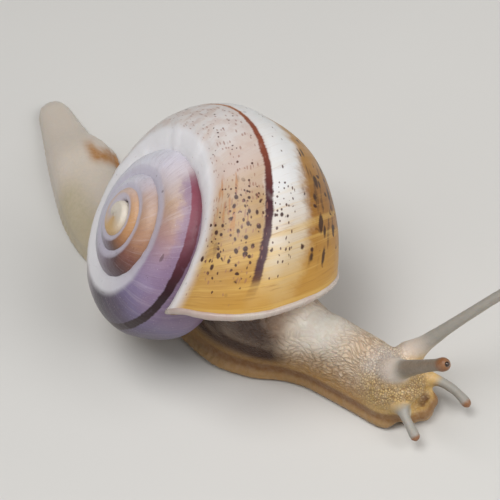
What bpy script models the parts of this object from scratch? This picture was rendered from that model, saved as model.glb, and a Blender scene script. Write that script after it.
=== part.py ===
"""Banded land snail at life size: the crawling animal and the coiled shell on its back.

All sizes below are in millimetres and are turned into metres when a mesh is made.
The origin is on the flat sole under the shell, +X is the way the neck points, +Z is up.
The flesh is one long body drawn along a bent spine and parted by thin cuts.
The shell is a tube that turns right-handed round its own axis and grows as it turns.
"""

import math

import bmesh
import bpy
import numpy as np
from mathutils import Euler, Matrix, Vector

MM = 0.001
GAP = 0.3

# Body: spine and cuts, measured along the foot from the tip of the tail.
BODY_LENGTH = 46.4
ORIGIN_STATION = 27.3
ORIGIN_SIDE = -1.1
TAIL_TURN = math.radians(-29.5)
TAIL_BEND = (11.0, 24.0)
NECK_TURN = math.radians(-1.5)
HEAD_TURN = math.radians(-7.0)
HEAD_TURNS_AT = 40.0
CUTS = (12.0, 29.0, 37.5, 42.8)
BODY_NODES = ("tail", "foot_rear", "trunk", "neck", "head")
RING_STEP = 1.15

# Body: half width of the sole, height of the back, how far the back leans to the left,
# how square the back is, and how far either side swells out further, each as
# (distance from the tail tip, value).
HALF_WIDTH = ((0.0, 1.15), (3.5, 1.6), (9.0, 2.4), (17.0, 3.1), (28.0, 3.3),
              (35.0, 3.0), (38.5, 2.6), (41.5, 2.5), (44.5, 2.35), (46.4, 2.2))
HEIGHT = ((0.0, 1.0), (6.0, 2.1), (10.0, 2.9), (18.0, 2.5), (27.0, 2.4),
          (31.0, 7.0), (34.0, 9.8), (36.4, 8.3), (38.4, 5.1), (40.5, 4.4), (42.5, 4.5),
          (44.0, 4.45), (45.7, 3.9), (46.4, 3.4))
LEAN = ((0.0, 0.0), (28.0, 0.0), (34.0, -2.7), (37.0, -1.6), (40.0, 0.0), (46.4, 0.0))
SQUARENESS = ((0.0, 2.0), (12.0, 2.2), (27.0, 2.4), (34.0, 3.4), (40.0, 2.1), (46.4, 2.2))
LEFT_SWELL = ((0.0, 0.0), (6.0, 0.0), (8.8, 0.75), (10.3, 0.5), (12.5, 0.1), (15.0, 0.0))
RIGHT_SWELL = ((0.0, 0.0), (24.0, 0.0), (28.0, 0.7), (32.5, 1.5), (35.0, 1.1), (37.2, 0.3),
               (39.0, 0.0))
MARGIN_HEIGHT = 0.95
GROOVE_DEPTH = 0.3
TAIL_ROUNDING = 1.9
HEAD_ROUNDING = 2.1
SNOUT_LEVEL = 1.7
SNOUT_FORWARD = 0.75
SNOUT_FROM = 44.2
SNOUT_LENGTH = 2.0
SOLE_BLUNTNESS = 4.0
BACK_BLUNTNESS = 2.6
NOSE_BLUNTNESS = 3.0
LEAST_END = 0.15

# Feelers: base, middle and tip, then radii at the base, in the shaft and in the end knob.
UPPER_LEFT = ((17.4, 0.0, 3.2), (20.7, 2.0, 6.7), (25.3, 5.6, 10.8))
UPPER_RIGHT = ((17.2, -1.9, 3.3), (20.1, -2.1, 5.9), (23.1, -2.3, 8.3))
UPPER_RADII = (1.2, 0.42, 0.54)
UPPER_TAPER = 2.0
LOWER_LEFT = ((18.3, -0.4, 2.2), (20.3, 0.2, 1.75), (22.1, -0.1, 1.0))
LOWER_RIGHT = ((17.9, -2.3, 2.3), (19.5, -3.3, 1.85), (20.9, -4.0, 1.0))
LOWER_RADII = (0.65, 0.3, 0.36)
LOWER_TAPER = 1.2
EYE_RADIUS = 0.28
EYE_FORWARD = 0.33
SOCKET_GAP = 0.12
LOBE_LEFT = (19.35, -1.0, 0.95)
LOBE_RIGHT = (19.05, -2.35, 0.92)
LOBE_RADII = (0.75, 0.64, 0.8)

# Shell: the tube's section at the mouth, from the coiling axis and down from the apex.
WHORL_GROWTH = 1.84
GROWTH_SLOWS = 0.054
SPIRE_FLATTENS = 1.078
SECTION_RADIUS = 7.42
SECTION_DEPTH = 7.19
REACH_OUT = 4.06
REACH_IN_ABOVE = 2.67
REACH_IN_BELOW = 6.73
REACH_UP = 4.46
REACH_DOWN = 5.85
UPPER_SQUARENESS = 1.7
SUTURE_SQUARENESS = 3.2
MOUTH_SUTURE = 1.7
MOUTH_SHAPE_FROM = -0.3
LIP_CORNER_AT = 112.0
LIP_CORNER_HALF_WIDTH = 45.0
LIP_CORNER_TURNS = 0.02
LOWER_SQUARENESS = 2.8
SECTION_TILT = math.radians(-2.2)
LIP_SLANT = math.radians(31.5)
FIRST_TURN = -4.6
APEX_ROUNDING = 0.2
NUCLEUS_TURNS = 1.2
NUCLEUS_SHRINK = 0.4
NUCLEUS_REACH = 11.5
NUCLEUS_OPENS = (-3.7, -3.2)
SPIRE_END = -0.78
CORE_TOP = 0.7
CORE_LENGTH = 6.2
CORE_RADII = (1.3, 0.5)
LIP_RADIUS = 0.45
LIP_SETBACK = 1.2
LIP_SPAN = (-178, 128)
SHELL_AZIMUTH = math.radians(-126.95)
SHELL_LEAN = math.radians(42.47)
SHELL_SPIN = math.radians(111.2)
APEX = (-0.9, -5.76, 12.35)
MANTLE_FIT = 0.86
MANTLE_HALF_THICKNESS = 0.4
MANTLE_FORWARD = 0.15
MANTLE_PROFILE = ((-1.0, 0.45), (-1.0, 0.8), (-0.6, 0.96), (0.0, 1.0), (0.6, 0.96), (1.0, 0.8),
                  (1.0, 0.45))
PLATE_SIZE = (24.0, 24.0, 12.0)
VOXEL = 0.17


def material(name, colour, roughness, metallic=0.0):
    """A plain Principled material."""
    made = bpy.data.materials.new(name)
    made.use_nodes = True
    shader = made.node_tree.nodes["Principled BSDF"]
    shader.inputs["Base Color"].default_value = (*colour, 1.0)
    shader.inputs["Roughness"].default_value = roughness
    shader.inputs["Metallic"].default_value = metallic
    return made


def smooth(share):
    """Zero to one with level ends."""
    return share * share * (3 - 2 * share)


def eased(value, start, end):
    """Zero at start and one at end, with level ends."""
    return smooth(np.clip((value - start) / (end - start), 0, 1))


def follow(pairs, at):
    """A smooth curve through (station, value) pairs, with slopes that never overshoot."""
    x, y = np.array(pairs, float).T
    run = np.diff(x)
    rise = np.diff(y) / run
    slope = np.zeros_like(y)
    slope[0], slope[-1] = rise[0], rise[-1]
    same = rise[:-1] * rise[1:] > 0
    mean = 2 * rise[:-1] * rise[1:] / np.where(same, rise[:-1] + rise[1:], 1)
    slope[1:-1] = np.where(same, mean, 0)
    at = np.clip(at, x[0], x[-1])
    i = np.clip(np.searchsorted(x, at, side="right") - 1, 0, len(run) - 1)
    u = (at - x[i]) / run[i]
    start = y[i] * (1 + 2 * u) * (1 - u) ** 2 + slope[i] * run[i] * u * (1 - u) ** 2
    end = y[i + 1] * u * u * (3 - 2 * u) + slope[i + 1] * run[i] * u * u * (u - 1)
    return start + end


def spine(at):
    """The foot's centre line: its point and heading at each distance from the tail tip."""
    s = np.linspace(0, BODY_LENGTH + 1, 600)
    tail = smooth(follow(((TAIL_BEND[0], 0), (TAIL_BEND[1], 1)), s))
    head = follow(((HEAD_TURNS_AT, 0), (BODY_LENGTH, 1)), s)
    heading = TAIL_TURN * (1 - tail) + NECK_TURN * tail + HEAD_TURN * head
    step = s[1] - s[0]
    x = np.cumsum(np.cos(heading)) * step
    y = np.cumsum(np.sin(heading)) * step
    x -= np.interp(ORIGIN_STATION, s, x)
    y -= np.interp(ORIGIN_STATION, s, y) - ORIGIN_SIDE
    return np.interp(at, s, x), np.interp(at, s, y), np.interp(at, s, heading)


def rounded(share, power):
    """A superellipse's falling edge: one at share zero, nothing at share one."""
    return max(1 - min(max(share, 0.0), 1.0) ** power, 0.0) ** (1 / power)


def body_ring(station, grow=0.0):
    """One upright section of the body: flat sole, foot margin, groove and arched back."""
    x, y, heading = spine(station)
    tail_end = max(rounded(1 - station / TAIL_ROUNDING, 2.0), 0.12)
    nose = (station - BODY_LENGTH + HEAD_ROUNDING) / (HEAD_ROUNDING + grow)
    wide = float(follow(HALF_WIDTH, station)) * tail_end + grow
    high = float(follow(HEIGHT, station)) * tail_end + grow
    margin = min(MARGIN_HEIGHT, 0.5 * high)
    groove = min(GROOVE_DEPTH, 0.15 * wide)
    power = 2 / float(follow(SQUARENESS, station))
    arch = np.linspace(0, math.pi, 14)[1:-1]
    rise = np.sin(arch) ** power
    side = np.sign(np.cos(arch)) * np.abs(np.cos(arch)) ** power
    flank = np.array([(0.97, 0.0), (1.0, 0.3), (0.985, 0.7)])
    sole = np.array([(-0.5, 0.0), (0.0, 0.0), (0.5, 0.0)])
    lower = np.vstack((flank[::-1] * (-1, 1), sole)) * (wide, margin)
    blunt = max(rounded(nose, SOLE_BLUNTNESS), LEAST_END)
    full = max(rounded(nose, BACK_BLUNTNESS), LEAST_END)
    arched = np.column_stack((side * (wide - groove) * full, margin + rise * (high - margin)))
    rim = np.array([(1.0, margin), (-1.0, margin)]) * ((wide - groove) * full, 1.0)
    sides = (flank * (wide, margin) * (blunt, 1), rim[:1], arched, rim[1:], lower * (blunt, 1))
    across, up = np.vstack(sides).T
    share = np.clip((up - margin) / (high - margin), 0, 1)
    reach = np.clip(across / wide, -1, 1)
    left = float(follow(LEFT_SWELL, station)) * np.maximum(reach, 0)
    right = float(follow(RIGHT_SWELL, station)) * np.maximum(-reach, 0) ** 3 * (1 - share) ** 2
    across = across + float(follow(LEAN, station)) * share ** 1.2 + left - right
    up = np.where(up <= 0, -grow, up)
    level = SNOUT_LEVEL if nose > 0 else 0.0
    up = level + (up - level) * max(rounded(nose, NOSE_BLUNTNESS), LEAST_END)
    out = np.clip(up - SNOUT_LEVEL + 0.1, 0, 1) * np.clip((station - SNOUT_FROM) / SNOUT_LENGTH, 0, 1)
    ahead = SNOUT_FORWARD * smooth(out)
    x, y = x + ahead * np.cos(heading), y + ahead * np.sin(heading)
    return np.column_stack((x - across * np.sin(heading), y + across * np.cos(heading), up))


def link(made, collection, surface, cutter=False):
    """Puts an object in its collection with its material; a cutter is drawn as wire only."""
    collection.objects.link(made)
    if cutter:
        made.hide_render = True
        made.display_type = "WIRE"
    else:
        made.data.materials.append(surface)
        made.data.shade_smooth()
        made.data.set_sharp_from_angle(angle=math.radians(50))
    return made


def loft(name, rings, collection, surface=None, cutter=False):
    """One closed body through rings of points, each end closed by a fan to its middle."""
    count = len(rings[0])
    corners = np.vstack((*rings, rings[0].mean(axis=0), rings[-1].mean(axis=0))) * MM
    last = (len(rings) - 1) * count
    faces = []
    for r in range(len(rings) - 1):
        for i in range(count):
            j = (i + 1) % count
            a, b = r * count, (r + 1) * count
            faces.append((a + i, a + j, b + j, b + i))
    for i in range(count):
        j = (i + 1) % count
        faces.append((j, i, last + count))
        faces.append((last + i, last + j, last + count + 1))
    mesh = bpy.data.meshes.new(name)
    mesh.from_pydata(corners.tolist(), [], faces)
    shape = bmesh.new()
    shape.from_mesh(mesh)
    bmesh.ops.recalc_face_normals(shape, faces=shape.faces)
    shape.to_mesh(mesh)
    shape.free()
    return link(bpy.data.objects.new(name, mesh), collection, surface, cutter)


def tube(name, points, radii, collection, surface=None, cutter=False, sides=2):
    """A bevelled curve of changing radius with closed ends, made a mesh."""
    curve = bpy.data.curves.new(name, "CURVE")
    curve.dimensions = "3D"
    curve.bevel_depth = MM
    curve.bevel_resolution = sides
    curve.use_fill_caps = True
    line = curve.splines.new("POLY")
    line.points.add(len(points) - 1)
    for knot, point, radius in zip(line.points, points, radii):
        knot.co = (*(np.array(point) * MM), 1.0)
        knot.radius = radius
    holder = bpy.data.objects.new(name + "_curve", curve)
    collection.objects.link(holder)
    ready = holder.evaluated_get(bpy.context.evaluated_depsgraph_get())
    mesh = bpy.data.meshes.new_from_object(ready)
    mesh.name = name
    mesh.materials.clear()
    shape = bmesh.new()
    shape.from_mesh(mesh)
    bmesh.ops.remove_doubles(shape, verts=shape.verts, dist=0.01 * MM)
    bmesh.ops.recalc_face_normals(shape, faces=shape.faces)
    shape.to_mesh(mesh)
    shape.free()
    bpy.data.objects.remove(holder)
    return link(bpy.data.objects.new(name, mesh), collection, surface, cutter)


def ball(name, centre, radii, collection, surface=None, cutter=False, turn=0.0, segments=12):
    """An ellipsoid from a primitive sphere, turned about the vertical."""
    mesh = bpy.data.meshes.new(name)
    shape = bmesh.new()
    bmesh.ops.create_uvsphere(shape, u_segments=segments, v_segments=8, radius=1.0)
    bmesh.ops.scale(shape, vec=Vector(radii) * MM, verts=shape.verts)
    shape.to_mesh(mesh)
    shape.free()
    made = bpy.data.objects.new(name, mesh)
    made.location = Vector(centre) * MM
    made.rotation_euler = (0, 0, turn)
    return link(made, collection, surface, cutter)


def cut(made, cutter):
    """Takes the cutter's space out of an object, leaving the modifier on it."""
    step = made.modifiers.new("clear_" + cutter.name, "BOOLEAN")
    step.operation = "DIFFERENCE"
    step.object = cutter
    step.solver = "EXACT"


def baked(made):
    """Replaces an object's mesh by what its modifiers make of it."""
    ready = made.evaluated_get(bpy.context.evaluated_depsgraph_get())
    old, made.data = made.data, bpy.data.meshes.new_from_object(ready)
    made.modifiers.clear()
    made.data.name = old.name
    bpy.data.meshes.remove(old)


def keep_outer_skin(made):
    """Deletes every island of a mesh but the one that reaches furthest out."""
    shape = bmesh.new()
    shape.from_mesh(made.data)
    queue = [max(shape.verts, key=lambda v: v.co.x)]
    outer = set(queue)
    while queue:
        place = queue.pop()
        around = {edge.other_vert(place) for edge in place.link_edges} - outer
        outer |= around
        queue.extend(around)
    bmesh.ops.delete(shape, geom=[v for v in shape.verts if v not in outer], context="VERTS")
    shape.to_mesh(made.data)
    shape.free()


def fuse(made, ratio):
    """Makes overlapping turns one skin with nothing closed in, and thins its triangles."""
    step = made.modifiers.new("fuse", "REMESH")
    step.mode = "VOXEL"
    step.voxel_size = VOXEL * MM
    step.use_smooth_shade = True
    baked(made)
    keep_outer_skin(made)
    thin = made.modifiers.new("thin", "DECIMATE")
    thin.ratio = ratio


def growth(turn):
    """Size of the tube relative to the mouth, a number of turns before it; least in the nucleus."""
    small = 1 - NUCLEUS_SHRINK * (1 - eased(turn, FIRST_TURN, FIRST_TURN + NUCLEUS_TURNS))
    return small * np.exp(math.log(WHORL_GROWTH) * turn * (1 + GROWTH_SLOWS * turn))


def whorl_section(angle, grow=0.0, above=REACH_IN_ABOVE, suture=MOUTH_SUTURE):
    """The tube's section at full size: distance from the axis, and height from the apex."""
    c, s = np.cos(angle), np.sin(angle)
    inner = np.where(s > 0, above, REACH_IN_BELOW)
    reach = np.where(c > 0, REACH_OUT, inner) + grow
    tall = np.where(s > 0, REACH_UP, REACH_DOWN) + grow
    upper = np.where(c > 0, UPPER_SQUARENESS, suture)
    power = 2 / np.where(s > 0, upper, LOWER_SQUARENESS)
    out = reach * np.sign(c) * np.abs(c) ** power
    up = tall * np.sign(s) * np.abs(s) ** power
    tilt_c, tilt_s = math.cos(SECTION_TILT), math.sin(SECTION_TILT)
    return SECTION_RADIUS + out * tilt_c - up * tilt_s, out * tilt_s + up * tilt_c - SECTION_DEPTH


def shell_place():
    """Turns the shell's own axis frame into the body's frame."""
    lean = Euler((0, SHELL_LEAN, 0)).to_matrix()
    swing = Matrix.Rotation(SHELL_AZIMUTH, 3, "Z")
    spin = Matrix.Rotation(SHELL_SPIN, 3, "Z")
    return np.array(swing @ lean @ spin)


def shell_ring(turn, angle, grow=0.0):
    """A ring of the shell's tube; turn may differ round the ring, as it does at the lip."""
    size = growth(turn)
    above = NUCLEUS_REACH + (REACH_IN_ABOVE - NUCLEUS_REACH) * eased(turn, *NUCLEUS_OPENS)
    at_mouth = eased(turn, MOUTH_SHAPE_FROM, 0.0)
    suture = SUTURE_SQUARENESS + (MOUTH_SUTURE - SUTURE_SQUARENESS) * at_mouth
    radius, height = whorl_section(angle, grow / size, above, suture)
    near_apex = np.clip((turn - FIRST_TURN) / APEX_ROUNDING, 0, 1)
    fullness = np.sqrt(1 - (1 - near_apex) ** 2 * 0.96)
    radius = SECTION_RADIUS + (radius - SECTION_RADIUS) * fullness
    height = -SECTION_DEPTH + (height + SECTION_DEPTH) * fullness
    out = radius * size
    up = (height + SECTION_DEPTH) * size - SECTION_DEPTH * size ** SPIRE_FLATTENS
    swing = -2 * math.pi * turn
    local = np.column_stack((out * np.cos(swing), out * np.sin(swing), up))
    return local @ shell_place().T + APEX


def lip_turn(angle, setback=0.0):
    """Where the slanting mouth edge lies, in turns, at each place round the section."""
    radius, height = whorl_section(angle)
    radius = np.maximum(radius, 0.8)
    slant = (height + SECTION_DEPTH) * math.tan(LIP_SLANT) / radius
    aside = np.abs(np.degrees(angle) - LIP_CORNER_AT)
    corner = LIP_CORNER_TURNS * eased(aside, LIP_CORNER_HALF_WIDTH, 0.0)
    return (slant - setback / np.maximum(radius, 1.5)) / (2 * math.pi) + corner


def section_angles(count):
    """Even steps round the tube's section."""
    return np.linspace(0, 2 * math.pi, count, endpoint=False)


def fill_core(made):
    """Adds a cone down the coiling axis, so that no hollow stays shut in between the turns."""
    place = Matrix(shell_place().tolist()).to_4x4()
    place.translation = Vector(APEX) * MM
    middle = Matrix.Translation((0, 0, -(CORE_TOP + CORE_LENGTH / 2) * MM))
    shape = bmesh.new()
    shape.from_mesh(made.data)
    bmesh.ops.create_cone(shape, cap_ends=True, segments=12, radius1=CORE_RADII[0] * MM,
                          radius2=CORE_RADII[1] * MM, depth=CORE_LENGTH * MM, matrix=place @ middle)
    shape.to_mesh(made.data)
    shape.free()


def make_spire(collection, surface, cutters):
    """The earlier turns, and the room that later pieces leave round them."""
    angles = section_angles(28)
    turns = np.concatenate((FIRST_TURN + APEX_ROUNDING * np.array([0, 0.1, 0.3, 0.6]),
                            np.arange(FIRST_TURN + APEX_ROUNDING, SPIRE_END, 1 / 30)))
    spire = loft("shell_spire", [shell_ring(t, angles) for t in turns], collection, surface)
    fill_core(spire)
    fuse(spire, 0.055)
    room = loft("spire_room", [shell_ring(t, angles, GAP) for t in turns], cutters, cutter=True)
    fill_core(room)
    fuse(room, 0.05)
    return room


def make_lip(collection, surface, cutters, spire_room):
    """The thickened white edge round the free part of the mouth, and the room round it."""
    angles = np.radians(np.linspace(*LIP_SPAN, 40))
    points = shell_ring(lip_turn(angles, LIP_RADIUS), angles, -0.7 * LIP_RADIUS)
    lip = tube("shell_lip", points, [LIP_RADIUS] * len(points), collection, surface)
    cut(lip, spire_room)
    around = [LIP_RADIUS + GAP] * len(points)
    return tube("lip_room", points, around, cutters, cutter=True)


def make_last_whorl(collection, surface, cutters, spire_room, lip_room):
    """The last turn up to the lip, and the room that the flesh leaves round the shell."""
    angles = section_angles(24)
    end = lip_turn(angles, LIP_SETBACK)
    rings = [shell_ring(SPIRE_END + (end - SPIRE_END) * k, angles) for k in np.linspace(0, 1, 34)]
    whorl = loft("shell_last_whorl", rings, collection, surface)
    cut(whorl, spire_room)
    cut(whorl, lip_room)
    rings = [shell_ring(FIRST_TURN + (end - FIRST_TURN) * k, angles, GAP) for k in np.linspace(0.5, 1, 90)]
    room = loft("shell_room", rings, cutters, cutter=True)
    fuse(room, 0.06)
    return room


def mouth_frame():
    """The middle of the shell's mouth and the direction it faces."""
    edge = shell_ring(lip_turn(section_angles(72)), section_angles(72))
    middle = edge.mean(axis=0)
    normal = np.linalg.svd(edge - middle)[2][2]
    return edge, middle, normal * (1 if normal[2] < 0 else -1)


def make_mantle(collection, surface, spire_room, lip_room):
    """The soft collar that fills the mouth inside the lip."""
    angles = section_angles(36)
    edge, middle, normal = mouth_frame()
    edge = shell_ring(lip_turn(angles), angles)
    rings = []
    for along, fit in MANTLE_PROFILE:
        level = MANTLE_FORWARD + along * MANTLE_HALF_THICKNESS
        rings.append(middle + (edge - middle) * fit * MANTLE_FIT + normal * level)
    collar = loft("mantle_collar", rings, collection, surface)
    cut(collar, spire_room)
    cut(collar, lip_room)


def mouth_plate(cutters):
    """The space above the mouth plane, which the flesh stays out of."""
    edge, middle, normal = mouth_frame()
    up = Vector(-normal)
    mesh = bpy.data.meshes.new("mouth_plate")
    shape = bmesh.new()
    bmesh.ops.create_cube(shape, size=1.0)
    bmesh.ops.scale(shape, vec=Vector(PLATE_SIZE) * MM, verts=shape.verts)
    shape.to_mesh(mesh)
    shape.free()
    plate = bpy.data.objects.new("mouth_plate", mesh)
    plate.rotation_euler = up.to_track_quat("Z", "Y").to_euler()
    reach = MANTLE_FORWARD + MANTLE_HALF_THICKNESS + GAP
    plate.location = (Vector(middle) - up * reach + up * PLATE_SIZE[2] / 2) * MM
    return link(plate, cutters, None, cutter=True)


def make_body(collection, surfaces, cutters, shell_room):
    """Tail, rear foot, trunk, neck and head, parted by thin upright cuts."""
    edges = (0.0, *CUTS, BODY_LENGTH)
    plate = mouth_plate(cutters)
    for name, start, end in zip(BODY_NODES, edges[:-1], edges[1:]):
        first = start + (GAP / 2 if start > 0 else 0.0)
        last = end - (GAP / 2 if end < BODY_LENGTH else 0.0)
        steps = max(int(round((last - first) / RING_STEP)), 4)
        share = np.linspace(0, 1, steps + 1)
        if start == 0:
            share = share ** 1.6
        if end == BODY_LENGTH:
            share = np.sin(share * math.pi / 2)
        rings = [body_ring(s) for s in first + (last - first) * share]
        piece = loft(name, rings, collection, surfaces["skin"])
        if name == "trunk":
            cut(piece, plate)
        if name in ("foot_rear", "trunk", "neck"):
            cut(piece, shell_room)
    share = np.sin(np.linspace(0, math.pi / 2, 12))
    rings = [body_ring(s, GAP) for s in CUTS[-2] + (BODY_LENGTH + GAP - CUTS[-2]) * share]
    return loft("head_room", rings, cutters, cutter=True)


def bend(points, count):
    """Points along a smooth arc through three given points."""
    start, middle, end = np.array(points, float)
    control = 2 * middle - (start + end) / 2
    k = np.linspace(0, 1, count)[:, None]
    return start * (1 - k) ** 2 + control * 2 * k * (1 - k) + end * k * k


def make_feeler(name, points, radii, taper, count, collection, surface, head_room):
    """A feeler that narrows from its base and ends in a round knob."""
    path = bend(points, count)
    base, shaft, knob = radii
    length = np.linalg.norm(np.array(points[2]) - points[0])
    along = np.linspace(0, 1, count) * length
    radius = shaft + (base - shaft) * np.exp(-along / taper)
    from_tip = length - along
    radius = radius + (knob - shaft) * np.exp(-((from_tip - knob) / (1.3 * knob)) ** 2)
    tip = path[-1] - path[-2]
    tip = tip / np.linalg.norm(tip)
    body = [(p, r) for p, r, d in zip(path, radius, from_tip) if d > knob * 1.1]
    centre = path[-1] - tip * knob
    for turn in np.radians((10, 35, 58, 78)):
        body.append((centre + tip * knob * math.sin(turn), knob * math.cos(turn)))
    feeler = tube(name, [p for p, r in body], [r for p, r in body], collection, surface)
    cut(feeler, head_room)
    return feeler, centre, tip


def make_head_parts(collection, surfaces, cutters, head_room):
    """Feelers, eyes at the tips of the upper pair, and the lobes beside the mouth."""
    for side, points in (("left", UPPER_LEFT), ("right", UPPER_RIGHT)):
        feeler, centre, tip = make_feeler("feeler_upper_" + side, points, UPPER_RADII, UPPER_TAPER,
                                          12, collection, surfaces["feeler"], head_room)
        place = centre + tip * EYE_FORWARD
        socket = ball("socket_" + side, place, [EYE_RADIUS + SOCKET_GAP] * 3, cutters, cutter=True)
        cut(feeler, socket)
        ball("eye_" + side, place, [EYE_RADIUS] * 3, collection, surfaces["eye"])
    for side, points in (("left", LOWER_LEFT), ("right", LOWER_RIGHT)):
        make_feeler("feeler_lower_" + side, points, LOWER_RADII, LOWER_TAPER, 7, collection,
                    surfaces["feeler"], head_room)


def make_mouth_lobes(collection, surface, head_room):
    """The two soft lobes below the mouth, each a flattened ball set against the head."""
    for side, centre in (("left", LOBE_LEFT), ("right", LOBE_RIGHT)):
        lobe = ball("mouth_lobe_" + side, centre, LOBE_RADII, collection, surface, turn=HEAD_TURN)
        cut(lobe, head_room)


def main():
    """Clears the scene and builds the snail."""
    for old in list(bpy.data.objects):
        bpy.data.objects.remove(old)
    snail = bpy.data.collections.new("banded_snail")
    cutters = bpy.data.collections.new("banded_snail_cutters")
    bpy.context.scene.collection.children.link(snail)
    bpy.context.scene.collection.children.link(cutters)
    surfaces = {
        "skin": material("skin", (0.62, 0.47, 0.31), 0.45),
        "feeler": material("feeler_skin", (0.55, 0.46, 0.38), 0.4),
        "eye": material("eye", (0.03, 0.02, 0.02), 0.2),
        "mantle": material("mantle", (0.55, 0.42, 0.27), 0.4),
        "shell": material("shell", (0.72, 0.55, 0.30), 0.35),
        "spire": material("spire", (0.60, 0.42, 0.34), 0.35),
        "lip": material("lip", (0.85, 0.80, 0.74), 0.3),
    }
    spire_room = make_spire(snail, surfaces["spire"], cutters)
    lip_room = make_lip(snail, surfaces["lip"], cutters, spire_room)
    shell_room = make_last_whorl(snail, surfaces["shell"], cutters, spire_room, lip_room)
    make_mantle(snail, surfaces["mantle"], spire_room, lip_room)
    head_room = make_body(snail, surfaces, cutters, shell_room)
    make_head_parts(snail, surfaces, cutters, head_room)
    make_mouth_lobes(snail, surfaces["skin"], head_room)


main()
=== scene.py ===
import itertools
import math

import bmesh
import bpy
import numpy as np
from bpy.props import FloatProperty, FloatVectorProperty, PointerProperty
from mathutils import Matrix


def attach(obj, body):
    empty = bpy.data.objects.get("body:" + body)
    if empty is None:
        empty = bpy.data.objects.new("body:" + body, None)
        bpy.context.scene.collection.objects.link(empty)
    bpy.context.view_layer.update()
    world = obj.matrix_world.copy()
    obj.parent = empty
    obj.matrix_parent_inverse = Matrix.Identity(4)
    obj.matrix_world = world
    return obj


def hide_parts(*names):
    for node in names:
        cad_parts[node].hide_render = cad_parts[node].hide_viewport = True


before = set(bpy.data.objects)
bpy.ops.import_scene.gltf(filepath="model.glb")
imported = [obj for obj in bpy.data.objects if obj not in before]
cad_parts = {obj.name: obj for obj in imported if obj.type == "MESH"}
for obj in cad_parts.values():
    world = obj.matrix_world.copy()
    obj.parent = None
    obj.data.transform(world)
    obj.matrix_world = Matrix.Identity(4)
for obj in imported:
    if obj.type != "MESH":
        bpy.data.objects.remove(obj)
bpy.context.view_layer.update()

bl_info = {
    "name": "Banded land snail",
    "version": (1, 0, 0),
    "blender": (4, 5, 0),
    "location": "View3D > Sidebar > Snail",
    "description": "Skin, shell, lip, collar and eyes of a crawling banded snail at life size",
    "category": "Add Mesh",
}

# Shapes below are worked out in millimetres and turned into metres when a mesh is made.
MM = 0.001

# Body: the spine and its stations, measured along the foot from the tip of the tail.
BODY_LENGTH = 46.4
BODY_ROWS = ((0.02, 2.0, 22), (2.0, 44.0, 300), (44.0, 46.39, 40))
ORIGIN_STATION = 27.3
ORIGIN_SIDE = -1.1
TAIL_TURN = math.radians(-29.5)
TAIL_BEND = (11.0, 24.0)
NECK_TURN = math.radians(-1.5)
HEAD_TURN = math.radians(-7.0)
HEAD_TURNS_AT = 40.0
TRUNK = (27.0, 38.2)
HALF_WIDTH = ((0.0, 1.15), (3.5, 1.6), (9.0, 2.4), (17.0, 3.1), (28.0, 3.3),
              (35.0, 3.0), (38.5, 2.6), (41.5, 2.5), (44.5, 2.35), (46.4, 2.2))
HEIGHT = ((0.0, 1.0), (6.0, 2.1), (10.0, 2.9), (18.0, 2.5), (27.0, 2.4),
          (31.0, 7.0), (34.0, 9.8), (36.4, 8.3), (38.4, 5.1), (40.5, 4.4), (42.5, 4.5),
          (44.0, 4.45), (45.7, 3.9), (46.4, 3.4))
LEAN = ((0.0, 0.0), (28.0, 0.0), (34.0, -2.7), (37.0, -1.6), (40.0, 0.0), (46.4, 0.0))
SQUARENESS = ((0.0, 2.0), (12.0, 2.2), (27.0, 2.4), (34.0, 3.4), (40.0, 2.1), (46.4, 2.2))
LEFT_SWELL = ((0.0, 0.0), (6.0, 0.0), (8.8, 0.75), (10.3, 0.5), (12.5, 0.1), (15.0, 0.0))
RIGHT_SWELL = ((0.0, 0.0), (24.0, 0.0), (28.0, 0.7), (32.5, 1.5), (35.0, 1.1), (37.2, 0.3),
               (39.0, 0.0))
MARGIN_HEIGHT = 0.95
GROOVE_DEPTH = 0.3
GROOVE_SPREAD = 0.33
UNDERCUT = 0.1
UNDERCUT_SHARE = 0.35
SOLE_SHARE = 0.9
TAIL_ROUNDING = 1.9
HEAD_ROUNDING = 2.1
SOLE_BLUNTNESS = 4.0
BACK_BLUNTNESS = 2.6
NOSE_BLUNTNESS = 3.0
LEAST_TAIL = 0.05
LEAST_NOSE = 0.1
SNOUT_LEVEL = 1.7
SNOUT_FORWARD = 0.75
SNOUT_FROM = 44.2
SNOUT_LENGTH = 2.0
CLEAR_OF_SHELL = 0.12
CLEAR_OF_COLLAR = 0.1

# Feelers: base, middle and tip, then radii at the base, in the shaft and in the end knob, and
# how far the base reaches. Each comes with the length from its base that the head hides.
UPPER_LEFT = ((17.1, -0.15, 2.75), (20.7, 2.0, 6.7), (25.3, 5.6, 10.8))
UPPER_RIGHT = ((17.2, -1.9, 3.3), (20.1, -2.1, 5.9), (23.1, -2.3, 8.3))
LOWER_LEFT = ((18.3, -0.4, 2.2), (20.3, 0.2, 1.75), (22.1, -0.1, 1.0))
LOWER_RIGHT = ((17.9, -2.3, 2.3), (19.5, -3.3, 1.85), (20.9, -4.0, 1.0))
UPPER_RADII = (1.5, 0.36, 0.46, 1.9)
LOWER_RADII = (0.85, 0.27, 0.34, 1.2)
FEELERS = ((UPPER_LEFT, UPPER_RADII, 1.5), (UPPER_RIGHT, UPPER_RADII, 1.5),
           (LOWER_LEFT, LOWER_RADII, 0.9), (LOWER_RIGHT, LOWER_RADII, 0.9))
FEELER_POLE = 0.03
FEELER_STEPS = 60
EYE_STANDS_OUT = 0.03
LOBES = ((19.35, -1.0, 0.95), (19.5, -1.75, 0.85), (19.05, -2.35, 0.92))
LOBE_RADII = (0.78, 0.8, 0.78)
MOUTH = (19.8, -1.45, 1.75)
MOUTH_RADII = (0.5, 0.9, 0.26)

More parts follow.
